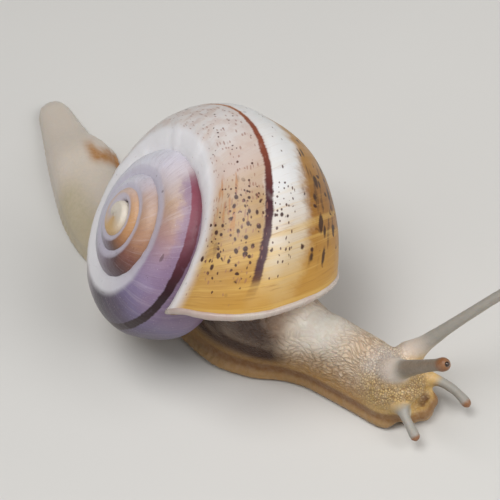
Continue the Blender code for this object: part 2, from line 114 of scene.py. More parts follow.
# Wrinkles: spans by station or height are (from, to), and the painted highlight's two are (middle, width).
FINE_FROM = 38.2
FINE_HEIGHTS = (0.5, 5.2)
NECK_MIDDLE = 41.0
NECK_SLANT = 0.34
NECK_STRETCH = 2.5
HEAD_CELLS = (42.3, 44.3)
HIGHLIGHT_STATION = (39.3, 1.8)
HIGHLIGHT_GIRTH = (-0.2, 2.2)
PLEAT_LENGTH = 0.62
RINGS_ON_FEELER = 95.0
RING_DEPTH = 0.005
PLEAT_DEPTH = 0.05
TUCK_DEPTH = 0.14
MOUTH_DEPTH = 0.3
LOBE_DEPTH = 0.015

# Shell: the tube's section at the mouth, from the coiling axis and down from the apex.
WHORL_GROWTH = 1.84
GROWTH_SLOWS = 0.054
SPIRE_FLATTENS = 1.078
SECTION_RADIUS = 7.42
SECTION_DEPTH = 7.19
REACH_OUT = 4.06
REACH_IN_ABOVE = 2.67
REACH_IN_BELOW = 6.73
REACH_UP = 4.46
REACH_DOWN = 5.85
UPPER_SQUARENESS = 1.7
LOWER_SQUARENESS = 2.8
SUTURE_SQUARENESS = 3.2
MOUTH_SUTURE = 1.7
MOUTH_SHAPE_FROM = -0.3
SECTION_TILT = math.radians(-2.2)
FIRST_TURN = -4.6
APEX_ROUNDING = 0.2
NUCLEUS_TURNS = 1.2
NUCLEUS_SHRINK = 0.4
NUCLEUS_REACH = 11.5
NUCLEUS_OPENS = (-3.7, -3.2)
SHELL_AZIMUTH = math.radians(-126.95)
SHELL_LEAN = math.radians(42.47)
SHELL_SPIN = math.radians(111.2)
APEX = (-0.9, -5.76, 12.35)

# Mouth: its edge slants across the tube, and the last turn swings round to meet it.
LIP_SLANT = math.radians(31.5)
LIP_SWING = 1.2
LIP_CORNER_AT = 112.0
LIP_CORNER_HALF_WIDTH = 45.0
LIP_CORNER_TURNS = 0.02
LIP_SPAN = (-176.0, 126.0)
LIP_SINKS = 0.14
LIP_ROLLS_OUT = 0.35
LIP_HALF_HEIGHT = 0.2
LIP_SQUARENESS = 0.85
MANTLE_FORWARD = 0.15
MANTLE_HALF_THICKNESS = 0.4
MANTLE_FOLDS = 34
MANTLE_FOLD_DEPTH = 0.09

# Shell mesh: rows along the turns, columns round the tube, and the wall inside the mouth.
SHELL_ROWS = 560
SHELL_COLUMNS = 150
COLUMN_CROWDING = 0.42
SHELL_SETBACK = 0.25
SHELL_SINKS = 0.075
WALL_TURNS = (-0.002, -0.01, -0.03, -0.06)
WALL_DEPTHS = (0.22, 0.4, 0.42, 0.42)

# Dots on the last turn: seed, stretch along the turn, cells to a millimetre, radius in cells,
# paint, strength, and zones of age (from, to, soft) and angle (from, to) with their share of dots.
DOTS = (
    (0.0, 0.82, 1.8, 0.37, (56, 22, 20), 0.95, (
        (-0.125, -0.065, 0.03, 34.0, 66.0, 0.9), (-0.115, -0.08, 0.02, 66.0, 78.0, 0.5),
        (-0.1, -0.07, 0.02, 2.0, 22.0, 0.2), (-0.12, -0.07, 0.03, -44.0, -6.0, 0.4))),
    (5.3, 0.8, 3.1, 0.34, (72, 34, 28), 0.9, (
        (-0.13, -0.06, 0.04, 34.0, 74.0, 0.42), (-0.26, -0.13, 0.05, 34.0, 74.0, 0.12),
        (-0.12, -0.06, 0.03, 2.0, 22.0, 0.5), (-0.3, -0.1, 0.06, 2.0, 22.0, 0.1))),
    (9.1, 0.4, 4.2, 0.36, (150, 104, 88), 0.6, (
        (-0.34, -0.12, 0.05, 36.0, 78.0, 0.36), (-0.14, -0.05, 0.04, 30.0, 78.0, 0.3))),
    (2.7, 0.36, 1.5, 0.38, (62, 36, 22), 0.95, (
        (-0.17, -0.05, 0.03, -50.0, -8.0, 0.8),)))

# Stage, in metres: each light's place and width, and the camera's place and its right and up.
LIGHTS = {"key": ((0.01, -0.07, 0.32), 0.2), "sky": ((0.26, 0.04, 0.22), 0.2),
          "fill": ((-0.12, -0.26, 0.18), 0.26)}
LIGHT_AIM = (0.003, -0.001, 0.007)
FLOOR_REACH = 3.0
CAMERA_LENS = 131.64
CAMERA_SENSOR = 36.0
CAMERA_PLACE = (0.07282, -0.05325, 0.09279)
CAMERA_RIGHT = (0.7454, 0.6375, -0.1949)
CAMERA_UP = (-0.3659, 0.6357, 0.6797)


# --- numbers -------------------------------------------------------------------------------


def follow(pairs, at):
    """A smooth curve through (station, value) pairs: cubics whose slopes never overshoot."""
    x, y = np.array(pairs, float).T
    run = np.diff(x)
    rise = np.diff(y) / run
    slope = np.zeros_like(y)
    slope[0], slope[-1] = rise[0], rise[-1]
    same = rise[:-1] * rise[1:] > 0
    mean = 2 * rise[:-1] * rise[1:] / np.where(same, rise[:-1] + rise[1:], 1)
    slope[1:-1] = np.where(same, mean, 0)
    at = np.clip(at, x[0], x[-1])
    i = np.clip(np.searchsorted(x, at, side="right") - 1, 0, len(run) - 1)
    u = (at - x[i]) / run[i]
    start = y[i] * (1 + 2 * u) * (1 - u) ** 2 + slope[i] * run[i] * u * (1 - u) ** 2
    end = y[i + 1] * u * u * (3 - 2 * u) + slope[i + 1] * run[i] * u * u * (u - 1)
    return start + end


def eased(value, start, end):
    """0 up to start, 1 from end, and the smooth cubic 3k^2 - 2k^3 in between."""
    k = np.clip((value - start) / (end - start), 0, 1)
    return k * k * (3 - 2 * k)


def hump(value, centre, width):
    """A bell, exp(-((value - centre) / width)^2)."""
    return np.exp(-((value - centre) / width) ** 2)


def wave(value):
    """A cosine between 0 and 1, (1 + cos value) / 2."""
    return 0.5 + 0.5 * np.cos(value)


def unit(rows):
    """Each row at length one."""
    return rows / np.linalg.norm(rows, axis=-1, keepdims=True)


def signed_power(value, power):
    """sign(v) |v|^p, which makes a circle's sine and cosine a superellipse's."""
    return np.sign(value) * np.abs(value) ** power


def chance(places, seed):
    """Three even numbers in 0..1 for each whole-number place, the same in every run."""
    mixed = places @ np.array(((127.1, 269.5, 113.5), (311.7, 183.3, 271.9), (74.7, 246.1, 124.6)))
    return np.modf(np.abs(np.sin(mixed + seed * 17.13)) * 43758.5453)[0]


def cells(places, seed, loose=0.85):
    """Distances from each place to the nearest and the next of points strewn one to a unit cube."""
    floor = np.floor(places)
    near = np.full(len(places), 9.0)
    following = np.full(len(places), 9.0)
    for step in itertools.product((-1, 0, 1), repeat=3):
        corner = floor + step
        point = corner + 0.5 + loose * (chance(corner, seed) - 0.5)
        apart = np.linalg.norm(places - point, axis=1)
        following = np.minimum(following, np.maximum(near, apart))
        near = np.minimum(near, apart)
    return near, following


def drift(places, seed):
    """Soft noise in -1..1: even numbers on whole places, blended by cubics in between."""
    floor = np.floor(places)
    share = eased(places - floor, 0, 1)
    total = np.zeros(len(places))
    for step in itertools.product((0, 1), repeat=3):
        weight = np.prod(np.where(step, share, 1 - share), axis=1)
        total += weight * chance(floor + step, seed)[:, 0]
    return total * 2 - 1


def flat_places(first, second):
    """Places on a level sheet of noise, one row for each pair of numbers."""
    return np.stack((first, second, 0 * first), -1).reshape(-1, 3)


# --- body ----------------------------------------------------------------------------------


def spine(at):
    """The foot's centre line: its point and heading at each distance from the tail tip.

    The point is the running sum of (cos, sin) of the heading, set so that the origin station
    lies at x = 0 and a little to the right.
    """
    s = np.linspace(0, BODY_LENGTH + 1, 600)
    tail = eased(follow(((TAIL_BEND[0], 0), (TAIL_BEND[1], 1)), s), 0, 1)
    head = follow(((HEAD_TURNS_AT, 0), (BODY_LENGTH, 1)), s)
    heading = TAIL_TURN * (1 - tail) + NECK_TURN * tail + HEAD_TURN * head
    step = s[1] - s[0]
    x = np.cumsum(np.cos(heading)) * step
    y = np.cumsum(np.sin(heading)) * step
    x -= np.interp(ORIGIN_STATION, s, x)
    y -= np.interp(ORIGIN_STATION, s, y) - ORIGIN_SIDE
    return np.interp(at, s, x), np.interp(at, s, y), np.interp(at, s, heading)


def rounded(share, power):
    """A superellipse's falling edge, (1 - share^p)^(1/p): 1 at share zero, 0 at share one."""
    return np.maximum(1 - np.clip(share, 0, 1) ** power, 0) ** (1 / power)


def body_surface(station):
    """The flesh round each station: sole, soft margin, groove, then a superelliptic back.

    Back: across = +-wide |cos a|^p, up = margin + high |sin a|^p. Margin: an edge that goes up
    by t from the floor, 0, to the groove, 1, and draws in by exp(-((t - 1) / spread)^2). The
    tail and the snout are rounded off, and the upper part of the snout stands forward.
    """
    s = station[:, None]
    x, y, heading = spine(s)
    tail_end = np.maximum(rounded(1 - s / TAIL_ROUNDING, 2.0), LEAST_TAIL)
    nose = (s - BODY_LENGTH + HEAD_ROUNDING) / HEAD_ROUNDING
    wide = follow(HALF_WIDTH, s) * tail_end
    high = follow(HEIGHT, s) * tail_end
    margin = np.minimum(MARGIN_HEIGHT, 0.5 * high)
    groove = np.minimum(GROOVE_DEPTH, 0.15 * wide)
    power = 2 / follow(SQUARENESS, s)
    blunt = np.maximum(rounded(nose, SOLE_BLUNTNESS), LEAST_NOSE)
    full = np.maximum(rounded(nose, BACK_BLUNTNESS), LEAST_NOSE)

    arch = np.linspace(0, math.pi, 73)[None, 1:-1]
    back = signed_power(np.cos(arch), power) * (wide - groove) * full
    back_up = margin + np.sin(arch) ** power * (high - margin)
    t = np.linspace(0, 1, 13)[None, :]
    undercut = UNDERCUT * np.clip(1 - t / UNDERCUT_SHARE, 0, 1) ** 2
    edge = wide * (1 - undercut) - groove * hump(t, 1, GROOVE_SPREAD)
    edge = edge * (blunt + (full - blunt) * t)
    edge_up = margin * t
    sole = np.linspace(-SOLE_SHARE, SOLE_SHARE, 11)[None, :] * edge[:, :1]
    across = np.concatenate((edge, back, -edge[:, ::-1], sole), axis=1)
    up = np.concatenate((edge_up, back_up, edge_up[:, ::-1], np.zeros_like(sole)), axis=1)

    share = np.clip((up - margin) / (high - margin), 0, 1)
    reach = np.clip(across / wide, -1, 1)
    left = follow(LEFT_SWELL, s) * np.maximum(reach, 0)
    right = follow(RIGHT_SWELL, s) * np.maximum(-reach, 0) ** 3 * (1 - share) ** 2
    across = across + follow(LEAN, s) * share ** 1.2 + left - right
    level = np.where(nose > 0, SNOUT_LEVEL, 0.0)
    up = level + (up - level) * np.maximum(rounded(nose, NOSE_BLUNTNESS), LEAST_NOSE)
    forward = np.clip(up - SNOUT_LEVEL + 0.1, 0, 1) * np.clip((s - SNOUT_FROM) / SNOUT_LENGTH, 0, 1)
    ahead = SNOUT_FORWARD * eased(forward, 0, 1)
    x, y = x + ahead * np.cos(heading), y + ahead * np.sin(heading)
    return np.stack((x - across * np.sin(heading), y + across * np.cos(heading), up), axis=-1)


def body_place(points):
    """Where points lie on the body: station, distance to the left of the spine, and height."""
    s = np.linspace(0, BODY_LENGTH + 1, 600)
    at = np.interp(points[:, 0], spine(s)[0], s)
    for _ in range(4):
        x, y, heading = spine(at)
        at = at + (points[:, 0] - x) * np.cos(heading) + (points[:, 1] - y) * np.sin(heading)
    x, y, heading = spine(at)
    across = (points[:, 1] - y) * np.cos(heading) - (points[:, 0] - x) * np.sin(heading)
    return at, across, points[:, 2]


def bend(points, count):
    """A quadratic arc through a base, a middle and a tip: a (1-k)^2 + 2 c k (1-k) + b k^2."""
    start, middle, end = np.array(points, float)
    control = 2 * middle - (start + end) / 2
    k = np.linspace(0, 1, count)[:, None]
    return start * (1 - k) ** 2 + control * 2 * k * (1 - k) + end * k * k


def straight_length(arc):
    """How far a feeler's tip is from its base."""
    return np.linalg.norm(np.array(arc[2]) - arc[0])


def feeler_radius(radii, along, length):
    """Wide at the base, exp(-d / taper) down to the shaft, and a bell where the end knob is."""
    base, shaft, knob, taper = radii
    rooted = 0.3 + 0.7 * eased(along, 0, 0.5 * taper)
    radius = (shaft + (base - shaft) * np.exp(-np.maximum(along, 0) / taper)) * rooted
    return radius + (knob - shaft) * hump(length - along, knob, 1.3 * knob)


def feeler_surface(arc, radii):
    """Rings round a feeler's arc, rooted inside the head and rounded off at the knob."""
    path = bend(arc, 90)
    length = straight_length(arc)
    along = np.linspace(0, 1, len(path)) * length
    radius = feeler_radius(radii, along, length)
    knob = radii[2]
    cap = np.sqrt(np.maximum(1 - np.clip(1 - (length - along) / knob, 0, 1) ** 2, 0))
    radius = np.where(length - along < knob, knob * cap, radius)
    radius[-1] = FEELER_POLE
    return circles_round(path, radius, 40)


def circles_round(path, radius, count):
    """Circles of given radii set square to a path: path + r (side cos a + over sin a)."""
    run = unit(np.gradient(path, axis=0))
    side = unit(np.cross(run, (0.0, 0.0, 1.0)))
    over = np.cross(side, run)
    a = np.linspace(0, 2 * math.pi, count, endpoint=False)[None, :, None]
    ring = side[:, None] * np.cos(a) + over[:, None] * np.sin(a)
    return path[:, None] + ring * np.reshape(radius, (-1, 1, 1))


def ball_surface(centre, radii, rows=40, columns=56, turn=0.0):
    """An ellipsoid as rings from pole to pole: centre + radii * (sin u cos v, sin u sin v, cos u)."""
    u = np.linspace(0.02, math.pi - 0.02, rows)[:, None]
    v = np.linspace(0, 2 * math.pi, columns, endpoint=False)[None, :]
    shape = np.stack((np.sin(u) * np.cos(v), np.sin(u) * np.sin(v), np.cos(u) + 0 * v), axis=-1)
    return (shape * radii) @ turned_about("z", turn).T + centre


# --- shell ---------------------------------------------------------------------------------


def growth(turn):
    """Size of the tube relative to the mouth, 1.84^(turn (1 + 0.054 turn)); less in the nucleus."""
    small = 1 - NUCLEUS_SHRINK * (1 - eased(turn, FIRST_TURN, FIRST_TURN + NUCLEUS_TURNS))
    return small * np.exp(math.log(WHORL_GROWTH) * turn * (1 + GROWTH_SLOWS * turn))


def whorl_section(angle, grow=0.0, above=REACH_IN_ABOVE, suture=MOUTH_SUTURE):
    """The tube's section at full size: distance from the axis, and height from the apex.

    Each quarter is a superellipse with its own reach and squareness: reach cos^p, tall sin^p.
    """
    c, s = np.cos(angle), np.sin(angle)
    inner = np.where(s > 0, above, REACH_IN_BELOW)
    reach = np.where(c > 0, REACH_OUT, inner) + grow
    tall = np.where(s > 0, REACH_UP, REACH_DOWN) + grow
    upper = np.where(c > 0, UPPER_SQUARENESS, suture)
    power = 2 / np.where(s > 0, upper, LOWER_SQUARENESS)
    out = reach * signed_power(c, power)
    up = tall * signed_power(s, power)
    tilt_c, tilt_s = math.cos(SECTION_TILT), math.sin(SECTION_TILT)
    return SECTION_RADIUS + out * tilt_c - up * tilt_s, out * tilt_s + up * tilt_c - SECTION_DEPTH


def turned_about(axis, angle):
    """The 3 x 3 matrix of a turn about the y or z axis."""
    c, s = math.cos(angle), math.sin(angle)
    if axis == "z":
        return np.array(((c, -s, 0), (s, c, 0), (0, 0, 1)))
    return np.array(((c, 0, s), (0, 1, 0), (-s, 0, c)))


SHELL_PLACE = (turned_about("z", SHELL_AZIMUTH) @ turned_about("y", SHELL_LEAN)
               @ turned_about("z", SHELL_SPIN))


def shell_point(turn, angle, grow=0.0):
    """The tube's surface: the section scaled by growth and carried round the coiling axis.

    The section is scaled by growth, swung by -2 pi turn and let down the axis. In the first
    turn it reaches across the axis, so that the apex closes in a round nucleus.
    """
    size = growth(turn)
    above = NUCLEUS_REACH + (REACH_IN_ABOVE - NUCLEUS_REACH) * eased(turn, *NUCLEUS_OPENS)
    to_mouth = eased(turn, MOUTH_SHAPE_FROM, 0.0)
    suture = SUTURE_SQUARENESS + (MOUTH_SUTURE - SUTURE_SQUARENESS) * to_mouth
    radius, height = whorl_section(angle, grow / size, above, suture)
    near_apex = np.clip((turn - FIRST_TURN) / APEX_ROUNDING, 0, 1)
    fullness = np.sqrt(1 - (1 - near_apex) ** 2 * 0.998)
    radius = SECTION_RADIUS + (radius - SECTION_RADIUS) * fullness
    height = -SECTION_DEPTH + (height + SECTION_DEPTH) * fullness
    out = radius * size
    up = (height + SECTION_DEPTH) * size - SECTION_DEPTH * size ** SPIRE_FLATTENS
    swing = -2 * math.pi * turn
    local = np.stack((out * np.cos(swing), out * np.sin(swing), up), axis=-1)
    return local @ SHELL_PLACE.T + APEX


def lip_turn(angle, setback=0.0):
    """Where the slanting mouth edge lies, in turns, at each place round the section.

    (height * tan(slant) - setback) / radius / 2 pi, and a little further on at the corner by the
    suture.
    """
    radius, height = whorl_section(angle)
    radius = np.maximum(radius, 0.8)
    slant = (height + SECTION_DEPTH) * math.tan(LIP_SLANT) / radius
    aside = np.abs(np.degrees(angle) - LIP_CORNER_AT)
    corner = LIP_CORNER_TURNS * eased(aside, LIP_CORNER_HALF_WIDTH, 0.0)
    return (slant - setback / np.maximum(radius, 1.5)) / (2 * math.pi) + corner


def swung(turn, angle, setback=0.0):
    """Turns along the tube, swung over the last stretch so that its end is the mouth's edge."""
    return turn + np.clip(1 + turn / LIP_SWING, 0, 1) * lip_turn(angle, setback)


def mouth_frame():
    """The middle of the shell's mouth and the direction it faces."""
    angles = np.linspace(0, 2 * math.pi, 72, endpoint=False)
    edge = shell_point(lip_turn(angles), angles)
    middle = edge.mean(axis=0)
    normal = np.linalg.svd(edge - middle)[2][2]
    return middle, normal * (1 if normal[2] < 0 else -1)


def under_shell(x, y, clearance):
    """How high flesh may stand at each place so that it keeps clear of the shell above it.

    The shell's lowest point over each cell of a level grid, spread to the cells beside it.
    """
    cell = 0.2
    turn, angle = np.meshgrid(np.linspace(-1.3, 0, 900), np.linspace(-math.pi, math.pi, 420),
                              indexing="ij")
    shell = shell_point(swung(turn, angle), angle).reshape(-1, 3)
    low = shell[:, :2].min(axis=0) - 3 * cell
    size = np.ceil((shell[:, :2].max(axis=0) + 3 * cell - low) / cell).astype(int) + 1
    lowest = np.full(size, 99.0)
    i, j = ((shell[:, :2] - low) / cell).astype(int).T
    np.minimum.at(lowest, (i, j), shell[:, 2])
    for axis in (0, 1, 0, 1):
        beside = np.minimum(np.roll(lowest, 1, axis), np.roll(lowest, -1, axis))
        lowest = np.minimum(lowest, beside)
    i = np.clip(((x - low[0]) / cell).astype(int), 0, size[0] - 1)
    j = np.clip(((y - low[1]) / cell).astype(int), 0, size[1] - 1)
    return lowest[i, j] - clearance


# --- meshes --------------------------------------------------------------------------------


def grid_faces(rows, columns):
    """Four-cornered faces between neighbours of a grid whose columns close round."""
    r, c = np.meshgrid(np.arange(rows - 1), np.arange(columns), indexing="ij")
    here, beside = r * columns + c, r * columns + (c + 1) % columns
    return np.stack((here, beside, beside + columns, here + columns), -1).reshape(-1, 4)


def closed_tube(points):
    """Corners and faces of a grid closed round, with a fan to a pole at each end, facing out.

    The sum of (a x b) . c over its triangles is below zero where they face in.
    """
    rows, columns = points.shape[:2]
    poles = (points[:1].mean(axis=1), points[-1:].mean(axis=1))
    corners = np.concatenate((points.reshape(-1, 3), *poles))
    quads = grid_faces(rows, columns)
    c = np.arange(columns)
    after = (c + 1) % columns
    last = (rows - 1) * columns
    start = np.stack((after, c, np.full(columns, rows * columns)), -1)
    end = np.stack((last + c, last + after, np.full(columns, rows * columns + 1)), -1)
    fans = np.concatenate((start, end))
    thirds = np.concatenate((quads[:, :3], quads[:, [0, 2, 3]], fans))
    a, b, d = (corners[thirds[:, k]] for k in range(3))
    if np.einsum("ij,ij->i", np.cross(a, b), d).sum() < 0:
        quads, fans = quads[:, ::-1], fans[:, ::-1]
    return corners, (quads, fans)


def mesh_from(name, corners, faces, scale=MM):
    """A smooth mesh from corners in millimetres and arrays of faces."""
    mesh = bpy.data.meshes.new(name)
    faces = list(itertools.chain.from_iterable(part.tolist() for part in faces))
    mesh.from_pydata((corners * scale).tolist(), [], faces)
    mesh.shade_smooth()
    return mesh


def put(name, mesh, material):
    """Puts a mesh into the scene as a piece at the origin."""
    made = bpy.data.objects.new(name, mesh)
    bpy.context.scene.collection.objects.link(made)
    made.data.materials.append(material)
    return made


def mark(mesh, name, values):
    """Writes one number for each corner that the material reads by name."""
    layer = mesh.attributes.new(name, "FLOAT", "POINT")
    layer.data.foreach_set("value", np.ascontiguousarray(values, np.float32))


def table_of(items, field, width=3, kind=np.float32):
    """One field of a mesh's corners, normals or edges, with a row for each."""
    flat = np.empty(len(items) * width, kind)
    items.foreach_get(field, flat)
    return flat.reshape(-1, width)


def corners_of(mesh):
    """A mesh's corners as an array."""
    return table_of(mesh.vertices, "co").astype(float)


def edges_of(mesh):
    """The two ends of each edge."""
    return table_of(mesh.edges, "vertices", 2, np.int32)


def place_corners(mesh, points):
    """Moves a mesh's corners."""
    mesh.vertices.foreach_set("co", np.ascontiguousarray(points, np.float32).ravel())
    mesh.update()


def cut_finer(mesh, chosen):
    """Cuts each edge between two chosen corners in half, for finer relief there."""
    ends = edges_of(mesh)
    cut = np.nonzero(chosen[ends[:, 0]] & chosen[ends[:, 1]])[0].tolist()
    shape = bmesh.new()
    shape.from_mesh(mesh)
    shape.edges.ensure_lookup_table()
    bmesh.ops.subdivide_edges(shape, edges=[shape.edges[i] for i in cut], cuts=1, use_grid_fill=True)
    shape.to_mesh(mesh)
    shape.free()


def relaxed(points, edges, weight, times):
    """Draws each corner towards the mean of its neighbours, by its weight, several times."""
    a, b = edges.T
    count = len(points)
    beside = np.maximum(np.bincount(a, minlength=count) + np.bincount(b, minlength=count), 1)
    for _ in range(times):
        total = [np.bincount(a, points[b, k], count) + np.bincount(b, points[a, k], count)
                 for k in range(3)]
        points = points + weight[:, None] * (np.stack(total, -1) / beside[:, None] - points)
    return points


def melted(name, parts, voxel):
    """One skin round overlapping closed parts, still in millimetres."""
    corners, faces, first = [], [], 0
    for points, part_faces in parts:
        corners.append(points)
        faces += [part + first for part in part_faces]
        first += len(points)
    source = mesh_from(name + "_source", np.concatenate(corners), faces, 1.0)
    holder = bpy.data.objects.new(name + "_source", source)
    bpy.context.scene.collection.objects.link(holder)
    step = holder.modifiers.new("melt", "REMESH")
    step.mode = "VOXEL"
    step.voxel_size = voxel
    ready = holder.evaluated_get(bpy.context.evaluated_depsgraph_get())
    mesh = bpy.data.meshes.new_from_object(ready)
    mesh.name = name
    bpy.data.objects.remove(holder)
    bpy.data.meshes.remove(source)
    return mesh


# --- materials -----------------------------------------------------------------------------


def dye(red, green, blue):
    """A paint colour from its everyday 0-255 numbers, as the linear colour a shader takes."""
    parts = [part / 255 for part in (red, green, blue)]
    return tuple(p / 12.92 if p <= 0.04045 else ((p + 0.055) / 1.055) ** 2.4 for p in parts) + (1.0,)


class Strand:
    """A value or colour that runs through a material; sums written with it add Math nodes."""

    def __init__(self, bench, node, socket):
        self.bench = bench
        self.node = node
        self.socket = socket

    def also(self, name):
        """Another output of the same node."""
        return Strand(self.bench, self.node, self.node.outputs[name])

    def maths(self, operation, first, second=None):
        """One sum of one or two values."""
        return self.bench.node("ShaderNodeMath", {"operation": operation}, {0: first, 1: second})

    def __add__(self, other):
        return self.maths("ADD", self, other)

    def __sub__(self, other):
        return self.maths("SUBTRACT", self, other)

    def __rsub__(self, other):
        return self.maths("SUBTRACT", other, self)

    def __mul__(self, other):
        return self.maths("MULTIPLY", self, other)

    def __abs__(self):
        return self.maths("ABSOLUTE", self)

    def fraction(self):
        """What is left of the value after its whole number."""
        return self.maths("FRACT", self)

    def swing(self, width):
        """A noise of 0..1 made to swing evenly to both sides of zero, width in all."""
        return (self - 0.5) * width

    __radd__ = __add__
    __rmul__ = __mul__


class Bench:
    def __init__(self, name):
        self.material = bpy.data.materials.new(name)
        self.material.use_nodes = True
        self.tree = self.material.node_tree
        self.tree.nodes.clear()

    def node(self, kind, settings, inputs, output=0):
        """Adds a node: its settings first, then the values or strands of its sockets."""
        made = self.tree.nodes.new(kind)
        for key, value in settings.items():
            if key == "stops":
                self.set_stops(made.color_ramp.elements, value)
            else:
                setattr(made, key, value)
        for key, value in inputs.items():
            if value is None:
                continue
            socket = made.inputs[key] if isinstance(key, int) else self.socket(made, key)
            if isinstance(value, Strand):
                self.tree.links.new(value.socket, socket)
            elif socket.type == "RGBA":
                socket.default_value = self.solid(value)
            else:
                socket.default_value = value
        return Strand(self, made, made.outputs[output] if made.outputs else None)

    def set_stops(self, elements, stops):
        """Gives a colour ramp its stops, each a place and a colour."""
        for place, _ in stops[2:]:
            elements.new(place)
        for element, (place, colour) in zip(elements, stops):
            element.position = place
            element.color = self.solid(colour)

    @staticmethod
    def solid(colour):
        """A colour with its fourth part, however it was given."""
        return tuple(colour)[:3] + (1.0,)

    @staticmethod
    def paint(parts):
        """One ready colour, or three everyday numbers as a dye."""
        return parts[0] if len(parts) == 1 else dye(*parts)

    @staticmethod
    def socket(node, key):
        """A node's input by its identifier or, failing that, its name."""
        for socket in node.inputs:
            if socket.identifier == key:
                return socket
        return node.inputs[key]

    def attributes(self, *names):
        """The numbers marked on a mesh's corners, by name."""
        return [self.node("ShaderNodeAttribute", {"attribute_name": name}, {}, "Fac") for name in names]

    def place(self):
        """The piece's own coordinates in millimetres."""
        own = self.node("ShaderNodeTexCoord", {}, {}, "Object")
        return self.node("ShaderNodeVectorMath", {"operation": "SCALE"}, {0: own, "Scale": 1 / MM})

    def vector(self, x, y, z=0.0):
        """Three values as one place."""
        return self.node("ShaderNodeCombineXYZ", {}, {0: x, 1: y, 2: z})

    def mix(self, share, first, second):
        """From the first colour to the second as share goes from 0 to 1."""
        return self.node("ShaderNodeMix", {"data_type": "RGBA", "clamp_factor": True},
                         {"Factor_Float": share, "A_Color": first, "B_Color": second}, 2)

    def coats(self, colour, *layers):
        """Lays paints over a colour one after another; each layer is its share, then its paint."""
        for share, *paint in layers:
            colour = self.mix(share, colour, self.paint(paint))
        return colour

    def ramp(self, value, start, end, low=0.0, high=1.0):
        """Low up to start, high from end, smooth in between."""
        if start > end:
            start, end, low, high = end, start, high, low
        return self.node("ShaderNodeMapRange", {"interpolation_type": "SMOOTHSTEP"},
                         {"Value": value, "From Min": start, "From Max": end, "To Min": low, "To Max": high})

    def along(self, value, start, end, *stops):
        """A run of paints, each after its share of the way from start to end."""
        stops = [(place, self.paint(paint)) for place, *paint in stops]
        share = self.node("ShaderNodeMapRange", {}, {"Value": value, "From Min": start, "From Max": end})
        return self.node("ShaderNodeValToRGB", {"stops": stops}, {"Fac": share})

    def window(self, value, start, end, soft):
        """1 between start and end, fading to 0 over soft outside them."""
        return self.ramp(value, start - soft, start) * self.ramp(value, end + soft, end)

    def noise(self, vector, scale, detail=2.0, rough=0.5, seed=0.0):
        """Soft lumps of 0..1, scale of them to a unit; each seed gives others."""
        return self.node("ShaderNodeTexNoise", {"noise_dimensions": "4D"},
                         {"Vector": vector, "W": seed, "Scale": scale, "Detail": detail, "Roughness": rough})

    def cell_edge(self, vector, scale):
        """How far a place is from the edge of its cell, in cells."""
        return self.node("ShaderNodeTexVoronoi", {"feature": "DISTANCE_TO_EDGE"},
                         {"Vector": vector, "Scale": scale, "Randomness": 0.9}, "Distance")

    def finish(self, colour, roughness, bumps, constants):
        """Wires the shader: colour, roughness, bumps as (height, depth in mm), and constants."""
        normal = None
        for height, depth in bumps:
            normal = self.node("ShaderNodeBump", {}, {"Strength": 1.0, "Distance": depth * MM,
                                                       "Height": height, "Normal": normal})
        inputs = {"Base Color": colour, "Roughness": roughness, "Normal": normal, **constants}
        shader = self.node("ShaderNodeBsdfPrincipled", {}, inputs)
        self.node("ShaderNodeOutputMaterial", {}, {"Surface": shader})
        return self.material


